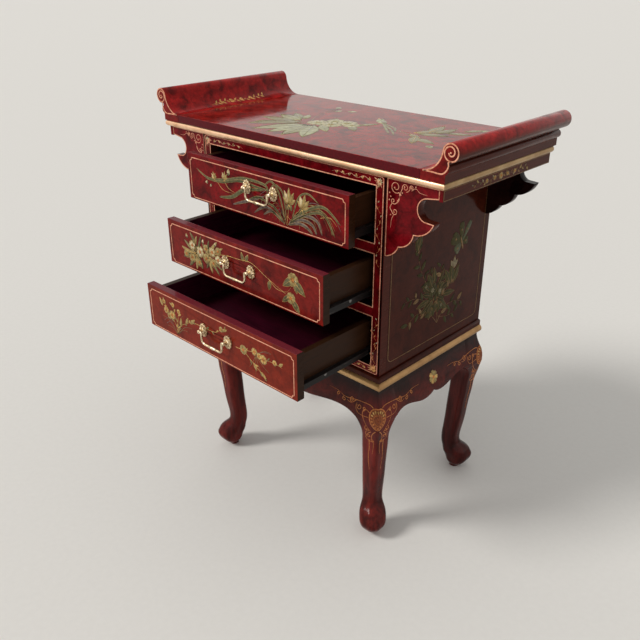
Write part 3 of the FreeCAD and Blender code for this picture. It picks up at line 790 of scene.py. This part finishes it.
def paint_top_drawer():
    """A clump of irises right of the handle, with long leaves that arch to both sides."""
    art = drawer_painting("top")
    blades = {
        "leaf": [
            (3.6, (64, 14), (48, 64), (28, 80), (10, 68)), (3, (66, 16), (60, 62), (40, 76), (24, 64)),
            (3.4, (80, 18), (96, 62), (120, 76), (146, 64)), (6, (74, 16), (116, 46), (158, 60), (196, 38)),
            (4.6, (74, 14), (124, 42), (160, 46), (184, 13)), (8, (8, 60), (-44, 50), (-82, 29), (-120, 21)),
            (6, (18, 56), (12, 70), (-46, 71), (-100, 58), (-150, 52), (-186, 65)),
        ],
        "moss": [
            (5, (22, 62), (-10, 62), (-60, 64), (-110, 52), (-160, 50)), (5, (16, 40), (-6, 44), (-30, 36)),
            (3.2, (120, 46), (150, 52), (170, 34), (178, 15)), (4, (60, 12), (36, 34), (12, 38)),
        ],
        "slate": [
            (5.4, (60, 10), (16, 30), (-20, 12)), (5, (62, 10), (30, 25), (6, 14)),
            (6.4, (8, 48), (-36, 31), (-80, 15)), (6.4, (74, 14), (110, 35), (142, 32), (154, 10)),
            (6.4, (72, 12), (104, 26), (130, 23), (141, 8)), (6.4, (72, 10), (98, 18), (118, 15), (132, 6)),
        ],
    }
    for colour, rows in blades.items():
        for width, *points in rows:
            blade(art, points, width, colour, "moss", "petal")
    for k in range(grass_blades):
        reach = 26 + 14 * k
        rise = 18 + 4.6 * k
        arc = [(0, 10), (0.4, 10 + rise), (0.8, 10 + 0.86 * rise), (1, 8 + 2.6 * k)]
        for sign, root, share in ((1, 74, 1), (-1, 64, 0.62)):
            stem(art, [(root + sign * share * reach * u, w) for u, w in arc], 1.7, grass_tints[k % 3])
    for points in (
            [(67, 8), (71, 30), (74, 50)], [(69, 8), (90, 34), (109, 48)],
            [(150, 40), (172, 45), (188, 34)], [(-126, 52), (-107, 37), (-79, 36)],
            [(-104, 58), (-92, 44), (-70, 38)], [(60, 8), (68, 24), (84, 14)]):
        stem(art, points, 1.4)
    for *at, size, angle in ((74, 48, 28, 90), (107, 46, 27, 76), (-132, 54, 14, 105), (-102, 58, 16, 84)):
        iris(art, at, size, angle)
    for *at, angle, size in ((-152, 44, 190, 10), (-90, 68, 82, 14), (-142, 42, 230, 8)):
        bud(art, at, angle, size)
    art.close()


def paint_middle_drawer():
    """A full cluster of blossom left of the handle and a long branch to its right."""
    draw = random.Random(23)
    art = drawer_painting("middle")
    fans = {
        (-126, 40): [
            (-142, 80), (-122, 77), (-108, 81), (-162, 60), (-172, 44), (-168, 24),
            (-150, 9), (-128, 7), (-110, 12)],
        (-86, 46): [
            (-58, 14), (-78, 12), (-96, 18), (-46, 26), (-60, 80), (-84, 78), (-104, 66), (-44, 72)],
    }
    for heart, tips in fans.items():
        for index, tip in enumerate(tips):
            u = 0.5 * (heart[0] + tip[0]) + draw.uniform(-5, 5)
            w = 0.5 * (heart[1] + tip[1]) + draw.uniform(-3, 3)
            blade(art, [heart, (u, w), tip], draw.uniform(7, 10), fan_tints[index % 3])
    for *at, radius, colour in (
            (-137, 55, 9.5, "cream"), (-114, 47, 11, "cream"), (-140, 29, 10, "petal"),
            (-158, 32, 8, "petal"), (-76, 56, 9.5, "cream"), (-95, 38, 9.5, "petal"),
            (-118, 24, 8, "petal"), (-94, 58, 8, "petal"), (-59, 44, 9, "cream"),
            (-74, 34, 8.5, "petal"), (-58, 62, 7.5, "petal")):
        blossom(art, at, radius, 5, draw.uniform(0, 70), colour)
    for *at, angle in ((-67, 70, 70), (-152, 66, 110), (-104, 66, 80)):
        bud(art, at, angle, 10)
    stem(art, [(-70, 54), (-32, 61), (0, 63), (30, 66), (50, 61), (77, 49), (126, 32)], 1.7)
    stem(art, [(84, 46), (102, 35), (126, 37), (140, 52)], 1.2)
    for *at, angle, length in (
            (14, 63, 105, 17), (20, 64, 62, 17), (84, 46, 262, 20), (143, 66, 218, 32),
            (144, 64, 322, 36), (146, 58, 292, 18), (140, 26, 312, 28), (132, 30, 222, 22)):
        leaf(art, at, angle, length, 0.46 * length)
    blossom(art, (143, 64), 12, 5, 18, "petal")
    blossom(art, (137, 28), 10, 5, 40, "petal")
    bud(art, (146, 60), 60, 12)
    art.close()


def paint_bottom_drawer():
    """Two sprigs of small blossom, one at each side of the handle."""
    draw = random.Random(37)
    art = drawer_painting("bottom")
    root = (-122, 9)
    for points in (
            [root, (-126, 28), (-140, 46), (-160, 68)], [root, (-122, 36), (-134, 70)],
            [root, (-118, 40), (-114, 60)], [root, (-112, 30), (-94, 42), (-64, 56)],
            [(-64, 54), (-6, 56), (16, 68), (34, 76)],
            [(56, 48), (78, 50), (108, 56), (130, 51), (158, 54), (178, 52)],
            [(82, 46), (104, 32), (125, 20), (134, 9)]):
        leafy(art, stem(art, points, 1.3), 13, 11, draw, ("petal", "leaf", "gold"), 40)
    for points in (
            [(-166, 26), (-150, 36), (-134, 28)], [(-158, 22), (-144, 30), (-130, 20)],
            [(112, 56), (134, 66), (150, 68)]):
        stem(art, points, 1, "slate")
    for heart, *tips in (
            (root, (-170, 36), (-156, 18), (-88, 26), (-74, 38), (-100, 56)),
            ((110, 50), (92, 22), (108, 11), (128, 15), (144, 28), (152, 70))):
        for tip in tips:
            middle = (0.5 * (heart[0] + tip[0]), 0.3 * heart[1] + 0.7 * tip[1] + 3)
            stem(art, [heart, middle, tip], 1.8, "bronze")
    for *at, angle, length in (
            (-166, 58, 118, 18), (-110, 30, 82, 20), (-92, 42, 64, 18), (-78, 48, 40, 20),
            (104, 34, 300, 16), (122, 22, 330, 16), (20, 68, 20, 14)):
        leaf(art, at, angle, length, 0.36 * length, "petal")
    for *at, radius in (
            (-155, 52, 7), (-136, 47, 8.5), (-146, 42, 6), (-161, 69, 4.6), (-132, 70, 4.8), (-114, 61, 5),
            (16, 69, 5), (77, 50, 8.5), (107, 57, 7), (119, 53, 6), (130, 50, 8.5), (159, 55, 5)):
        blossom(art, at, radius, 5, draw.uniform(0, 70), draw.choice(("gold", "petal", "petal")))
    art.close()


# Case front
opening_line_gap = 1.1
opening_corner = 0.4
stile_line_at = 234.0
gap_band = (235.4, 239.8)
band_coats = 0.12 / paint_height
stile_middle = 226.5
stile_step = 24.0
bare_stretch = (0.26, 0.60)
spray_at = 226.0


def paint_case_front():
    """Gold lines round the openings and the whole front, painted shadow bands at its sides where the brackets
    meet it, sprays and vines.
    """
    draw = random.Random(5)
    low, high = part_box("stiles")
    inner = -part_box("bottom_rail")[0].x / mm
    art = Painting("painting_case_front", (0, low.y, 0), front_way)
    bottom = low.z / mm
    top = high.z / mm
    gap = opening_line_gap
    for floor, ceiling in opening_levels():
        frame_line(art, -inner - gap, floor - gap, inner + gap, ceiling + gap, opening_corner)
    frame_line(art, -stile_line_at, bottom + 1.6, stile_line_at, top - 1.8, 5)
    middle = sum(gap_band) / 2
    for sign in (-1, 1):
        band = flip([(middle, bottom + 1), (middle, top - 1)], sign)
        # A painted shadow between the stile and the bracket.
        art.strip("black_and_shadow", band, gap_band[1] - gap_band[0], band_coats)
        stile_vine(art, sign, bottom + 30, top - 34, draw)
        corner_spray(art, sign, top - 10.5, -1, draw, "cream", ("line", "petal"))
        corner_spray(art, sign, bottom + 10.5, 1, draw, "bright", ("amber", "bright"))
        rail_vine(art, sign, top - 10, 206, 118, draw, "line", ("petal", "gold"))
        rail_vine(art, sign, bottom + 8.2, 206, 20, draw, "amber", ("amber", "bright"))
    art.close()


def opening_levels():
    """Floor and ceiling of each opening, from the rails between them, in millimetres."""
    heights = sorted({round(v.co.z / mm, 2) for v in nodes["dividers"].data.vertices})
    edges = [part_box("bottom_rail")[1].z / mm] + heights + [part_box("top_rail")[0].z / mm]
    return list(zip(edges[0::2], edges[1::2]))


def stile_vine(art, sign, low, high, draw):
    """Amber sprigs on a stile beside its lowest and highest drawers, fuller at the foot, with cream petals."""
    count = round((high - low) / stile_step)
    for k in range(count):
        if bare_stretch[0] < k / count < bare_stretch[1]:
            continue
        level = low + (high - low) * k / count
        lean = 1 if k % 2 else -1
        sprig = [(stile_middle + shift * lean, level + rise) for shift, rise in ((-3, -6), (2, 0), (-1, 7))]
        stem(art, flip(sprig, sign), 0.7, "amber")
        for step in range(3 if k < 3 else 1):
            at = (sign * (stile_middle + 2 * lean - 2 * step), level + 4 * step)
            leaf(art, at, draw.uniform(40, 140), 7, 2.2, "amber", "line")
        at = (sign * (stile_middle + 3 * lean), level + 0.5 * stile_step)
        art.patch("cream", move(leaf_outline(4.6, 2), at, draw.uniform(50, 130)), 1.4)


def corner_spray(art, sign, level, rise, draw, petals, leaves):
    """A fringed flower in a corner of the frame, with thin leaves along the stile and the rail."""
    at = (sign * spray_at, level)
    along = 90 * rise
    for angle in (180, 204, 156, along, along + 24, along - 24, 180 - 45 * rise):
        shown = angle if sign > 0 else 180 - angle
        leaf(art, at, shown, draw.uniform(9, 15), 2.2, draw.choice(leaves), "line")
    for k in range(9):
        art.patch(petals, move(petal_outline(6, 1.9), at, 40 * k), 1.4)
    dot(art, at, 1.6, "amber", 2.4)


def rail_vine(art, sign, at, start, end, draw, line, leaves):
    """A wavy stem along a rail towards the middle, with leaves, buds and dots."""
    count = max(3, int(abs(start - end) / 13))
    points = []
    for k in range(count + 1):
        sway = 3 if k % 2 else -3
        points.append((start + (end - start) * k / count, at + sway * (1 - 0.5 * k / count)))
    stem(art, flip(points, sign), 1, line)
    for k, (u, w) in enumerate(points[:-1]):
        lean = -1 if k % 2 else 1
        shown = lean * (90 + sign * draw.uniform(20, 50))
        leaf(art, (sign * u, w), shown, 7.5, 3.4, draw.choice(leaves), line)
        dot(art, (sign * (u - 5), w - 0.6 * math.copysign(4, w - at)), 1.4, "cream")


# Brackets
bracket_edge_inset = 1.3
bracket_bows = [(5, 137), (20, 128.5), (29.5, 115), (51, 104), (59.5, 87), (87.5, 75.5), (98, 59)]
bracket_notch = [(78, 58), (64.5, 38.5), (82, 21)]
bracket_end = 17.5


def bracket_outline():
    """The right bracket's outline in the case's millimetres, which runs anticlockwise."""
    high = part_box("brackets_front")[1]
    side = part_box("side_right")[1].x / mm
    top = high.z / mm
    right = high.x / mm
    bows = [(side + out, top - down) for out, down in bracket_bows]
    notch = [(side + out, top - down) for out, down in bracket_notch]
    path = [(side, top), (side, bows[0][1]), bows[0]]
    for first in (0, 2, 4):
        path += arc_through(*bows[first:first + 3], 9)
    path += [notch[0]] + arc_through(*notch, 12)
    path += [(right, top - bracket_end), (right, top)]
    return tidy_path(path)


def arc_through(a, b, c, steps):
    """Points on the circle through three points, from the first to the last."""
    (ax, ay), (bx, by), (cx, cy) = a, b, c
    d = 2 * (ax * (by - cy) + bx * (cy - ay) + cx * (ay - by))
    p, q, r = (x ** 2 + y ** 2 for x, y in (a, b, c))
    hub = (
        (p * (by - cy) + q * (cy - ay) + r * (ay - by)) / d,
        (p * (cx - bx) + q * (ax - cx) + r * (bx - ax)) / d)
    start, middle, end = (math.degrees(math.atan2(y - hub[1], x - hub[0])) for x, y in (a, b, c))
    sweep = (end - start) % 360
    if (middle - start) % 360 > sweep:
        sweep -= 360
    return turn(hub, math.dist(a, hub), start, start + sweep, steps)


def paint_brackets():
    """A gold edge, a large scroll in the upper corner and smaller ones running out and down from it."""
    art = Painting("painting_brackets", (0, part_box("brackets_front")[0].y, 0), front_way)
    outline = bracket_outline()
    edge = [aside(outline, index, -bracket_edge_inset) for index in range(len(outline))]
    for sign in (-1, 1):
        art.ring("line", flip(edge, sign), line_width)
        scrolls(art, "line", (
            ((262, 729), (267, 737), (258.5, 752.5), 10.6, 310, -460),
            ((267, 738), (269, 746), (277.5, 754.5), 6.4, 200, -420),
            ((280, 748), (284, 750), (290, 757), 4, 220, -400),
            ((267, 738), (265, 730), (258, 724), (254, 728.5), 4.6, 270, -330),
            ((252, 724), (248, 716), (258, 711), 6, 190, 400)), 1.4, sign)
        for points in (
                [(290, 752), (298, 757), (307, 752), (321, 751)], [(256, 705), (252, 696), (251, 682)]):
            stem(art, flip(through(points), sign), 1.2, "line")
        dots = [(269, 741), (272, 745), (298, 760), (246, 741), (248.5, 735), (246, 729), (250, 704)]
        for at in flip(dots, sign):
            dot(art, at, 1.3, "line")
    art.close()


# Scroll ends
sweep_middle = 331.0
scroll_line = 2.6
roll_radius = 15.0
roll_eye = 3.2
scroll_foot = [(6, -0.4), (24, -1), (39, -1.2), (46.5, 4), (50.5, 12), (50, 18), (55.5, 20.6)]


def paint_scroll_fronts():
    """Gold lines along the sweep, round the roll and inwards, and along the foot of each upturned end."""
    low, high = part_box("scroll_end_right")
    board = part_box("top_panel")[1]
    start = board.x / mm
    board_top = board.z / mm
    centre = (high.x / mm - roll_radius, high.z / mm - roll_radius)
    art = Painting("painting_scroll_fronts", (0, low.y, 0), front_way)
    run = centre[0] - start
    rise = centre[1] - board_top
    sweep = (run ** 2 + rise ** 2 - roll_radius ** 2) / (2 * (rise + roll_radius))
    hub = (start, board_top + sweep)
    meet = math.degrees(math.atan2(centre[1] - hub[1], centre[0] - hub[0]))
    gap = 0.5 * scroll_line
    upper = turn(hub, sweep + gap, -84, meet - 3, 18)
    upper += turn(centre, roll_radius - gap, 180 + meet - 2, -60, 30)[1:]
    upper += turn(centre, (roll_radius - gap, roll_eye), -60, -530, 44)[1:]
    lower = through([(start + u, board_top + w) for u, w in scroll_foot])
    for sign in (-1, 1):
        for line in (upper, lower):
            art.strip("line", flip(line, sign), scroll_line)
        dot(art, (sign * centre[0], centre[1]), 1.6, "line")
    art.close()


def paint_scroll_sweeps():
    """A fine gold sprig in the hollow of each upturned end, in a brightened gold that is painted light."""
    for sign, name in ((-1, "scroll_end_left"), (1, "scroll_end_right")):
        draw = random.Random(41)
        art = Painting("painting_" + name, (0, 0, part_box(name)[1].z), up_way, [name], up=back_way)
        points = [(sweep_middle + shift, along) for shift, along in ((-2, -70), (2, -24), (-2, 30), (2, 84))]
        line = stem(art, flip(points, sign), 1.4, "amber")
        leafy(art, line, 5, 9, draw, ("bright", "gold", "bright"), 44, "bright")
        for along, radius in ((-40, 3.5), (-12, 4.6), (16, 4.6), (44, 3.5)):
            at = (sign * sweep_middle, along)
            blossom(art, at, radius, 5, draw.uniform(0, 70), "bright", "amber", "line")
        art.close()


# Top
top_relief = 0.4


def paint_top():
    """A wide spray across the top: broad leaves, a row of peonies, a small bird and a leafy end."""
    draw = random.Random(53)
    art = Painting("painting_top", (0, 0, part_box("top_panel")[1].z), up_way, up=back_way, relief=top_relief)
    for points in (
            [(-150, -104), (-100, -66), (-50, -40), (10, -6), (60, 10), (150, 20), (230, 110)],
            [(-60, -40), (-100, 30), (-110, 96)], [(120, 16), (180, -10), (226, -40)],
            [(-104, 54), (-100, 62), (-96, 70)], [(-107, 74), (-94, 86), (-78, 92)]):
        stem(art, points, 1.8, "mist")
    for *at, angle, length in (
            (-70, -50, 214, 96), (-90, -50, 190, 84), (-84, -40, 168, 80),
            (-96, -30, 144, 62), (-96, -60, 232, 84), (-90, -24, 122, 44)):
        leaf(art, at, angle, length, 0.36 * length, draw.choice(("mist", "sage", "mist")), "pale")
    for *at, angle, length in (
            (-50, -58, 242, 112), (-44, -60, 262, 100), (-40, -58, 282, 104),
            (-34, -54, 302, 108), (-24, -44, 322, 62)):
        leaf(art, at, angle, length, 0.34 * length, draw.choice(("pale", "sage", "pale")), "mist")
    for *at, angle, length in (
            (-20, -20, 120, 52), (30, 0, 60, 46), (24, -12, 320, 46), (150, 20, 60, 64),
            (160, 20, 20, 60), (170, 0, 300, 56), (184, 44, 84, 60), (196, 60, 20, 48),
            (180, -10, 340, 54), (150, 10, 330, 40), (214, 90, 60, 44), (170, 40, 100, 70)):
        leaf(art, at, angle, length, 0.36 * length, "mist", draw.choice(("sage", "gold")))
    for *at, radius in ((-46, -32, 20), (-14, -28, 22), (2, 0, 20), (22, -8, 16), (-28, 0, 17)):
        peony(art, at, radius, draw)
    for *at, angle in ((-112, 98, 120), (-78, 92, 30), (-96, 70, 80), (228, -42, -40), (230, 112, 50)):
        bud(art, at, angle, 22, "pale", "mist")
    bird(art, (52, 50), 320, 40)
    art.close()


def bird(art, at, angle, size):
    """A small bird seen from the side, with a folded wing and a long tail."""
    for lean, length, bend in ((0, 2.7, 0.1), (-4, 2.3, 0), (6, 2, 0.2)):
        tail = move([(0, 0), (0.6 * length, bend), (length, 0)], at, angle + lean, size)
        blade(art, tail, 0.16 * size, "mist", "sage")
    body, wing, head, eye = move([(-0.95, 0), (-0.6, 0.1), (-0.85, 0.06), (-0.9, 0.12)], at, angle, size)
    art.patch("pale", move(leaf_outline(1.2, 0.5), body, angle, size), 1.6)
    art.patch("mist", move(leaf_outline(0.9, 0.3), wing, angle, size), 2.4)
    art.patch("gold", move(leaf_outline(0.36, 0.12), head, angle + 190, size), 1.8)
    dot(art, head, 0.2 * size, "pale", 2.2)
    dot(art, eye, 0.04 * size, "black_and_shadow", 3.4)


def peony(art, at, radius, draw):
    """A full flower: two rings of pale petals round a small heart."""
    blossom(art, at, radius, 8, draw.uniform(0, 45), "ivory", "sage", "ivory")
    for k in range(5):
        angle = draw.uniform(0, 20) + 72 * k
        art.patch("pale", move(petal_outline(0.56 * radius, 0.5 * radius), at, angle), 2)
    for spot in [at] + turn(at, 0.2 * radius, 0, 300, 5):
        dot(art, spot, 0.08 * radius, "petal", 3.4)


# Sides
side_line_front = 24.0
side_line_back = 17.0
side_line_low = 19.0
side_line_high = 14.0
bush_at = (-4, 498)
bush_leaves = 16


def paint_side(name, sign):
    """A bordered panel with a leafy flowering bush and a butterfly above it, in greens and golds darkened as
    painted shade.
    """
    draw = random.Random(67)
    low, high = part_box("side_" + name)
    art = Painting("painting_side_" + name, (high.x if sign > 0 else low.x, 0, 0), (sign, 0, 0))
    edges = (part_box("stiles")[0].y / mm + side_line_front, high.y / mm - side_line_back)
    left, right = sorted(sign * edge for edge in edges)
    frame_line(art, left, low.z / mm + side_line_low, right, high.z / mm - side_line_high, 12, 1.5, "bronze")
    heart = (sign * bush_at[0], bush_at[1])
    for k in range(bush_leaves):
        angle = 360 * k / bush_leaves + draw.uniform(-9, 9)
        at = move([(draw.uniform(6, 30), 0)], heart, angle)[0]
        length = draw.uniform(24, 44)
        leaf(art, at, angle, length, draw.uniform(11, 16), draw.choice(("shade", "fern")), "bronze")
    root = (8, 436)
    for points in (
            [root, (0, 480), (-46, 550), (-62, 584), (-69, 612)], [root, (10, 480), (40, 506), (52, 532)],
            [root, (-20, 466), (-60, 478), (-88, 466)], [root, (30, 462), (62, 466), (92, 456)],
            [(4, 470), (-40, 500), (-70, 514), (-102, 516)], [(6, 470), (-4, 520), (-30, 562)],
            [(10, 450), (40, 440), (70, 440)], [(6, 480), (14, 520), (8, 560)]):
        line = stem(art, flip(points, sign), 1.2, "bronze")
        leafy(art, line[3:], 9, 20, draw, ("shade", "fern", "fern", "bronze"), 55, "shade")
    for u, w, radius in ((-14, 514, 14), (10, 506, 11), (-36, 528, 10), (18, 472, 9)):
        blossom(art, (sign * u, w), radius, 7, draw.uniform(0, 60), "fern", "shade", "dusk")
    for u, w, turned, length, colour in (
            (-68, 606, 80, 40, "fern"), (-66, 604, 106, 34, "fern"), (48, 508, 92, 48, "fern"),
            (54, 508, 66, 42, "fern"), (44, 510, 120, 40, "fern"), (52, 540, 50, 22, "dusk"),
            (52, 540, 84, 26, "dusk"), (52, 540, 118, 22, "dusk")):
        angle = turned if sign > 0 else 180 - turned
        leaf(art, (sign * u, w), angle, length, 0.4 * length, colour, "bronze")
    bud(art, (sign * 8, 498), 90 - sign * 30, 16, "dusk")
    dot(art, (sign * 60, 571), 2, "dusk")
    butterfly(art, (sign * 74, 588), 44, 90 + sign * 22)
    art.close()


def butterfly(art, at, size, angle):
    for lean, length, width, colour in (
            (-16, 1, 0.4, "fern"), (-58, 1.1, 0.3, "moss"), (40, 0.9, 0.62, "fern"),
            (104, 0.6, 0.5, "moss"), (-110, 0.5, 0.4, "fern")):
        art.patch(colour, move(petal_outline(length, width), at, angle + lean, size), 1.2)
        dot(art, move([(0.6 * length, 0)], at, angle + lean, size)[0], 0.06 * size, "bronze", 2.4)
    body = move([(-0.4, 0)], at, angle, size)[0]
    art.patch("bronze", move(leaf_outline(0.8, 0.12), body, angle, size), 2.6)


# End rails
def paint_end_rails():
    """A border and a central flower spray on the rail under each end of the top, in bronze and dusk golds
    darkened as painted shade.
    """
    low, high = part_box("end_rails")
    tall = (high.z - low.z) / mm
    half = high.y / mm - 1.6
    for name, sign in (("left", -1), ("right", 1)):
        draw = random.Random(71)
        art = Painting("painting_end_rail_" + name, (sign * high.x, 0, low.z), (sign, 0, 0))
        frame_line(art, -half, 1.5, half, tall - 1.5, 0.6, 1.2, "bronze")
        for way in (-1, 1):
            line = stem(art, flip([(0, 9), (20, 12), (42, 7), (66, 11), (86, 9)], way), 1, "bronze")
            leafy(art, line, 6, 8, draw, ("bronze", "petal", "dusk"), 50, "bronze")
            for at in flip([(20, 10), (44, 9.5)], way):
                blossom(art, at, 4, 5, draw.uniform(0, 70), "petal", "bronze")
        blossom(art, (0, 9.8), 6, 8, 0, "petal", "bronze")
        art.close()


# Stand
knee_level = 299.0
knee_oval = (15.5, 22.5)
knee_ground = 5.6
ground_coats = 0.3 / paint_height
knee_coats = 0.6 / paint_height
apron_flower_at = (0, 318)
apron_petals = 7


def paint_aprons():
    """Scroll vines beside each knee and a flower at the middle of each side apron."""
    low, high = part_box("aprons_long")
    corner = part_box("side_right")[1]
    sides = ["aprons_side", "legs_front", "legs_rear"]
    for name, origin, out, drape, reach in (
            ("front", (0, low.y, 0), front_way, ["aprons_long", "legs_front"], corner.x),
            ("right", (high.x, 0, 0), (1, 0, 0), sides, corner.y),
            ("left", (low.x, 0, 0), (-1, 0, 0), sides, corner.y)):
        art = Painting("painting_apron_" + name, origin, out, drape)
        for sign in (-1, 1):
            knee_vine(art, sign, reach / mm)
        if name != "front":
            for k in range(apron_petals):
                petal = move(petal_outline(14, 9), apron_flower_at, 90 + 360 * k / apron_petals)
                art.patch("gold" if k % 2 else "petal", petal, 1.2)
            dot(art, apron_flower_at, 4, "amber", 2)
        art.close()


def knee_vine(art, sign, corner):
    """Scrolling lines that run in along the apron, drawn as distances back from the knee's corner."""
    for points in (
            [(4, 320), (15, 323), (45, 321), (73, 317), (96, 322), (118, 322)],
            [(13, 297), (36, 296), (45, 306), (44, 316)], [(47, 320), (58, 311), (70, 313)]):
        stem(art, flip(points, -sign, corner), 1.7, "amber")
    for *centre, radius, start, sweep in (
            (37, 311, 6.5, 20, -420), (57, 318, 5.5, 270, 420), (76, 312, 5, 100, -420),
            (92, 317, 4, 270, 420), (25, 311, 4, 250, -380)):
        spiral = turn(centre, (radius, 0.25 * radius), start, start + sweep, 22)
        art.strip("amber", flip(spiral, -sign, corner), 1.4)


def paint_knees():
    """A many-petalled oval flower on each knee's corner, leaf loops beside it and scrolls down the leg."""
    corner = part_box("side_right")[1]
    for y, row in ((-1, "front"), (1, "rear")):
        for x, way in ((1, "right"), (-1, "left")):
            drape = ["legs_" + row, "aprons_long", "aprons_side"]
            name = "painting_knee_" + row + "_" + way
            art = Painting(name, (x * corner.x, y * corner.y, 0), (x, y, 0), drape)
            knee_flower(art)
            for sign in (-1, 1):
                knee_loops(art, sign)
            art.close()


def knee_loops(art, sign):
    """Leaf loops at one side of a knee's flower and scrolls down the leg."""
    for points in (
            [(14, 308), (23, 311), (28, 299), (23, 281), (12, 266)],
            [(12, 266), (17, 258), (20, 246), (14, 240)], [(14, 244), (13, 222), (14, 200), (11, 165)],
            [(4, 272), (9, 262), (10, 250), (6, 238), (7, 210)]):
        stem(art, flip(points, sign), 1.6, "amber")
    scrolls(art, "amber", (
        ((22, 276), (23, 268), (18, 268), 4, 0, -400), ((20, 262), (21, 257), (16, 254), 4.6, 20, -400),
        ((14, 243), (12, 240), (9, 244), 3.6, 300, -400)), 1.2, sign)


def knee_flower(art):
    """Two oval rims on a russet ground, with a ring of short petals between them and a curled heart."""
    def oval(share, angle):
        turned = math.radians(angle)
        return (knee_oval[0] * share * math.cos(turned), knee_level + knee_oval[1] * share * math.sin(turned))

    rings = [(share, knee_ground, "russet", ground_coats) for share in (0.85, 0.62, 0.4, 0.18)]
    rings += [(1, 2, "amber", knee_coats), (0.5, 1, "amber", knee_coats)]
    for share, width, colour, coats in rings:
        art.ring(colour, [oval(share, 12 * k) for k in range(30)], width, coats)
    for k in range(16):
        angle = 22.5 * k
        petal = [oval(0.56, angle), oval(0.78, angle - 7), oval(0.92, angle), oval(0.78, angle + 7)]
        art.patch("gold" if 0 < angle < 180 else "amber", petal, knee_coats)
    for angle in range(0, 360, 72):
        stem(art, [oval(0.08, angle), oval(0.3, angle + 30), oval(0.42, angle + 80)], 1.2, "amber")


# Handles
rosette_share = 11.0 / 13.5
rosette_petals = 12
rosette_beads = 18
petal_coats = 0.75 / paint_height
bead_size = 0.8
bead_coats = bead_size / paint_height


def dress_handles():
    """Cast petals and a beaded rim on each rosette."""
    petal = [(0.5 + u, w) for u, w in petal_outline(0.42, 0.28)]
    for name in drawers:
        plate = "rosettes_" + name
        low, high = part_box(plate)
        middle = (low.z + high.z) / 2
        art = Painting("rosette_relief_" + name, (0, high.y, middle), front_way, [plate], "drawer_" + name)
        tall = (high.z - low.z) / 2 / mm
        wide = tall * rosette_share
        for sign in (-1, 1):
            x = sign * (high.x / mm - wide)
            for k in range(rosette_petals):
                turned = move(petal, (0, 0), 360 * k / rosette_petals)
                art.patch("cream", [(x + u * wide, w * tall) for u, w in turned], petal_coats, 1.5)
            for u, w in turn((0, 0), 0.46, 0, 340, rosette_beads - 1):
                dot(art, (x + u * wide, w * tall), bead_size, "cream", bead_coats)
        art.close("brass", brass_metal)


# Stage
def add_floor():
    recipe = Recipe("floor")
    colour = recipe.ramp(recipe.noise(12, 3), [(0.3, (0.81, 0.80, 0.78)), (0.7, (0.83, 0.82, 0.80))])
    recipe.set(Base_Color=colour, Roughness=0.7)
    mesh = bpy.data.meshes.new("floor")
    corners = [(floor_reach * x, floor_reach * y, 0) for x, y in ((-1, -1), (1, -1), (1, 1), (-1, 1))]
    mesh.from_pydata(corners, [], [(0, 1, 2, 3)])
    mesh.materials.append(recipe.material)
    floor = place("floor", mesh)


def add_world():
    """Pale surroundings: full strength for what the camera and reflections see, softer as light."""
    world = bpy.data.worlds.new("studio")
    bpy.context.scene.world = world
    world.use_nodes = True
    tree = world.node_tree
    background = tree.nodes["Background"]
    background.inputs["Color"].default_value = world_colour
    path = tree.nodes.new("ShaderNodeLightPath")
    seen = tree.nodes.new("ShaderNodeMath")
    seen.operation = "MAXIMUM"
    tree.links.new(path.outputs["Is Camera Ray"], seen.inputs[0])
    tree.links.new(path.outputs["Is Glossy Ray"], seen.inputs[1])
    strength = tree.nodes.new("ShaderNodeMapRange")
    tree.links.new(seen.outputs[0], strength.inputs["Value"])
    strength.inputs["To Min"].default_value = world_light
    strength.inputs["To Max"].default_value = world_seen
    tree.links.new(strength.outputs["Result"], background.inputs["Strength"])


def add_key_light():
    """A broad even light from the front, the left and above."""
    light = bpy.data.lights.new("key", "SUN")
    light.angle = math.radians(key_spread)
    light.energy = key_strength
    light.color = key_colour
    place("key", light).rotation_euler = Vector(key_way).to_track_quat("-Z", "Y").to_euler()


def add_camera():
    yaw, pitch, roll = (math.radians(angle) for angle in (camera_yaw, camera_pitch, camera_roll))
    forward = Vector((-math.sin(yaw) * math.cos(pitch), math.cos(yaw) * math.cos(pitch), -math.sin(pitch)))
    level = Vector((math.cos(yaw), math.sin(yaw), 0))
    rise = level.cross(forward)
    right = level * math.cos(roll) + rise * math.sin(roll)
    up = rise * math.cos(roll) - level * math.sin(roll)
    data = bpy.data.cameras.new("camera")
    data.lens = camera_lens
    data.sensor_width = sensor_width
    camera = place("camera", data)
    camera.matrix_world = Matrix.Translation(camera_at) @ Matrix((right, up, -forward)).transposed().to_4x4()
    bpy.context.scene.camera = camera


dress_nodes()
paint_top_drawer()
paint_middle_drawer()
paint_bottom_drawer()
paint_case_front()
paint_brackets()
paint_scroll_fronts()
paint_scroll_sweeps()
paint_top()
paint_side("right", 1)
paint_side("left", -1)
paint_end_rails()
paint_aprons()
paint_knees()
dress_handles()
add_floor()
add_world()
add_key_light()
add_camera()
bpy.context.scene.view_settings.view_transform = "Standard"
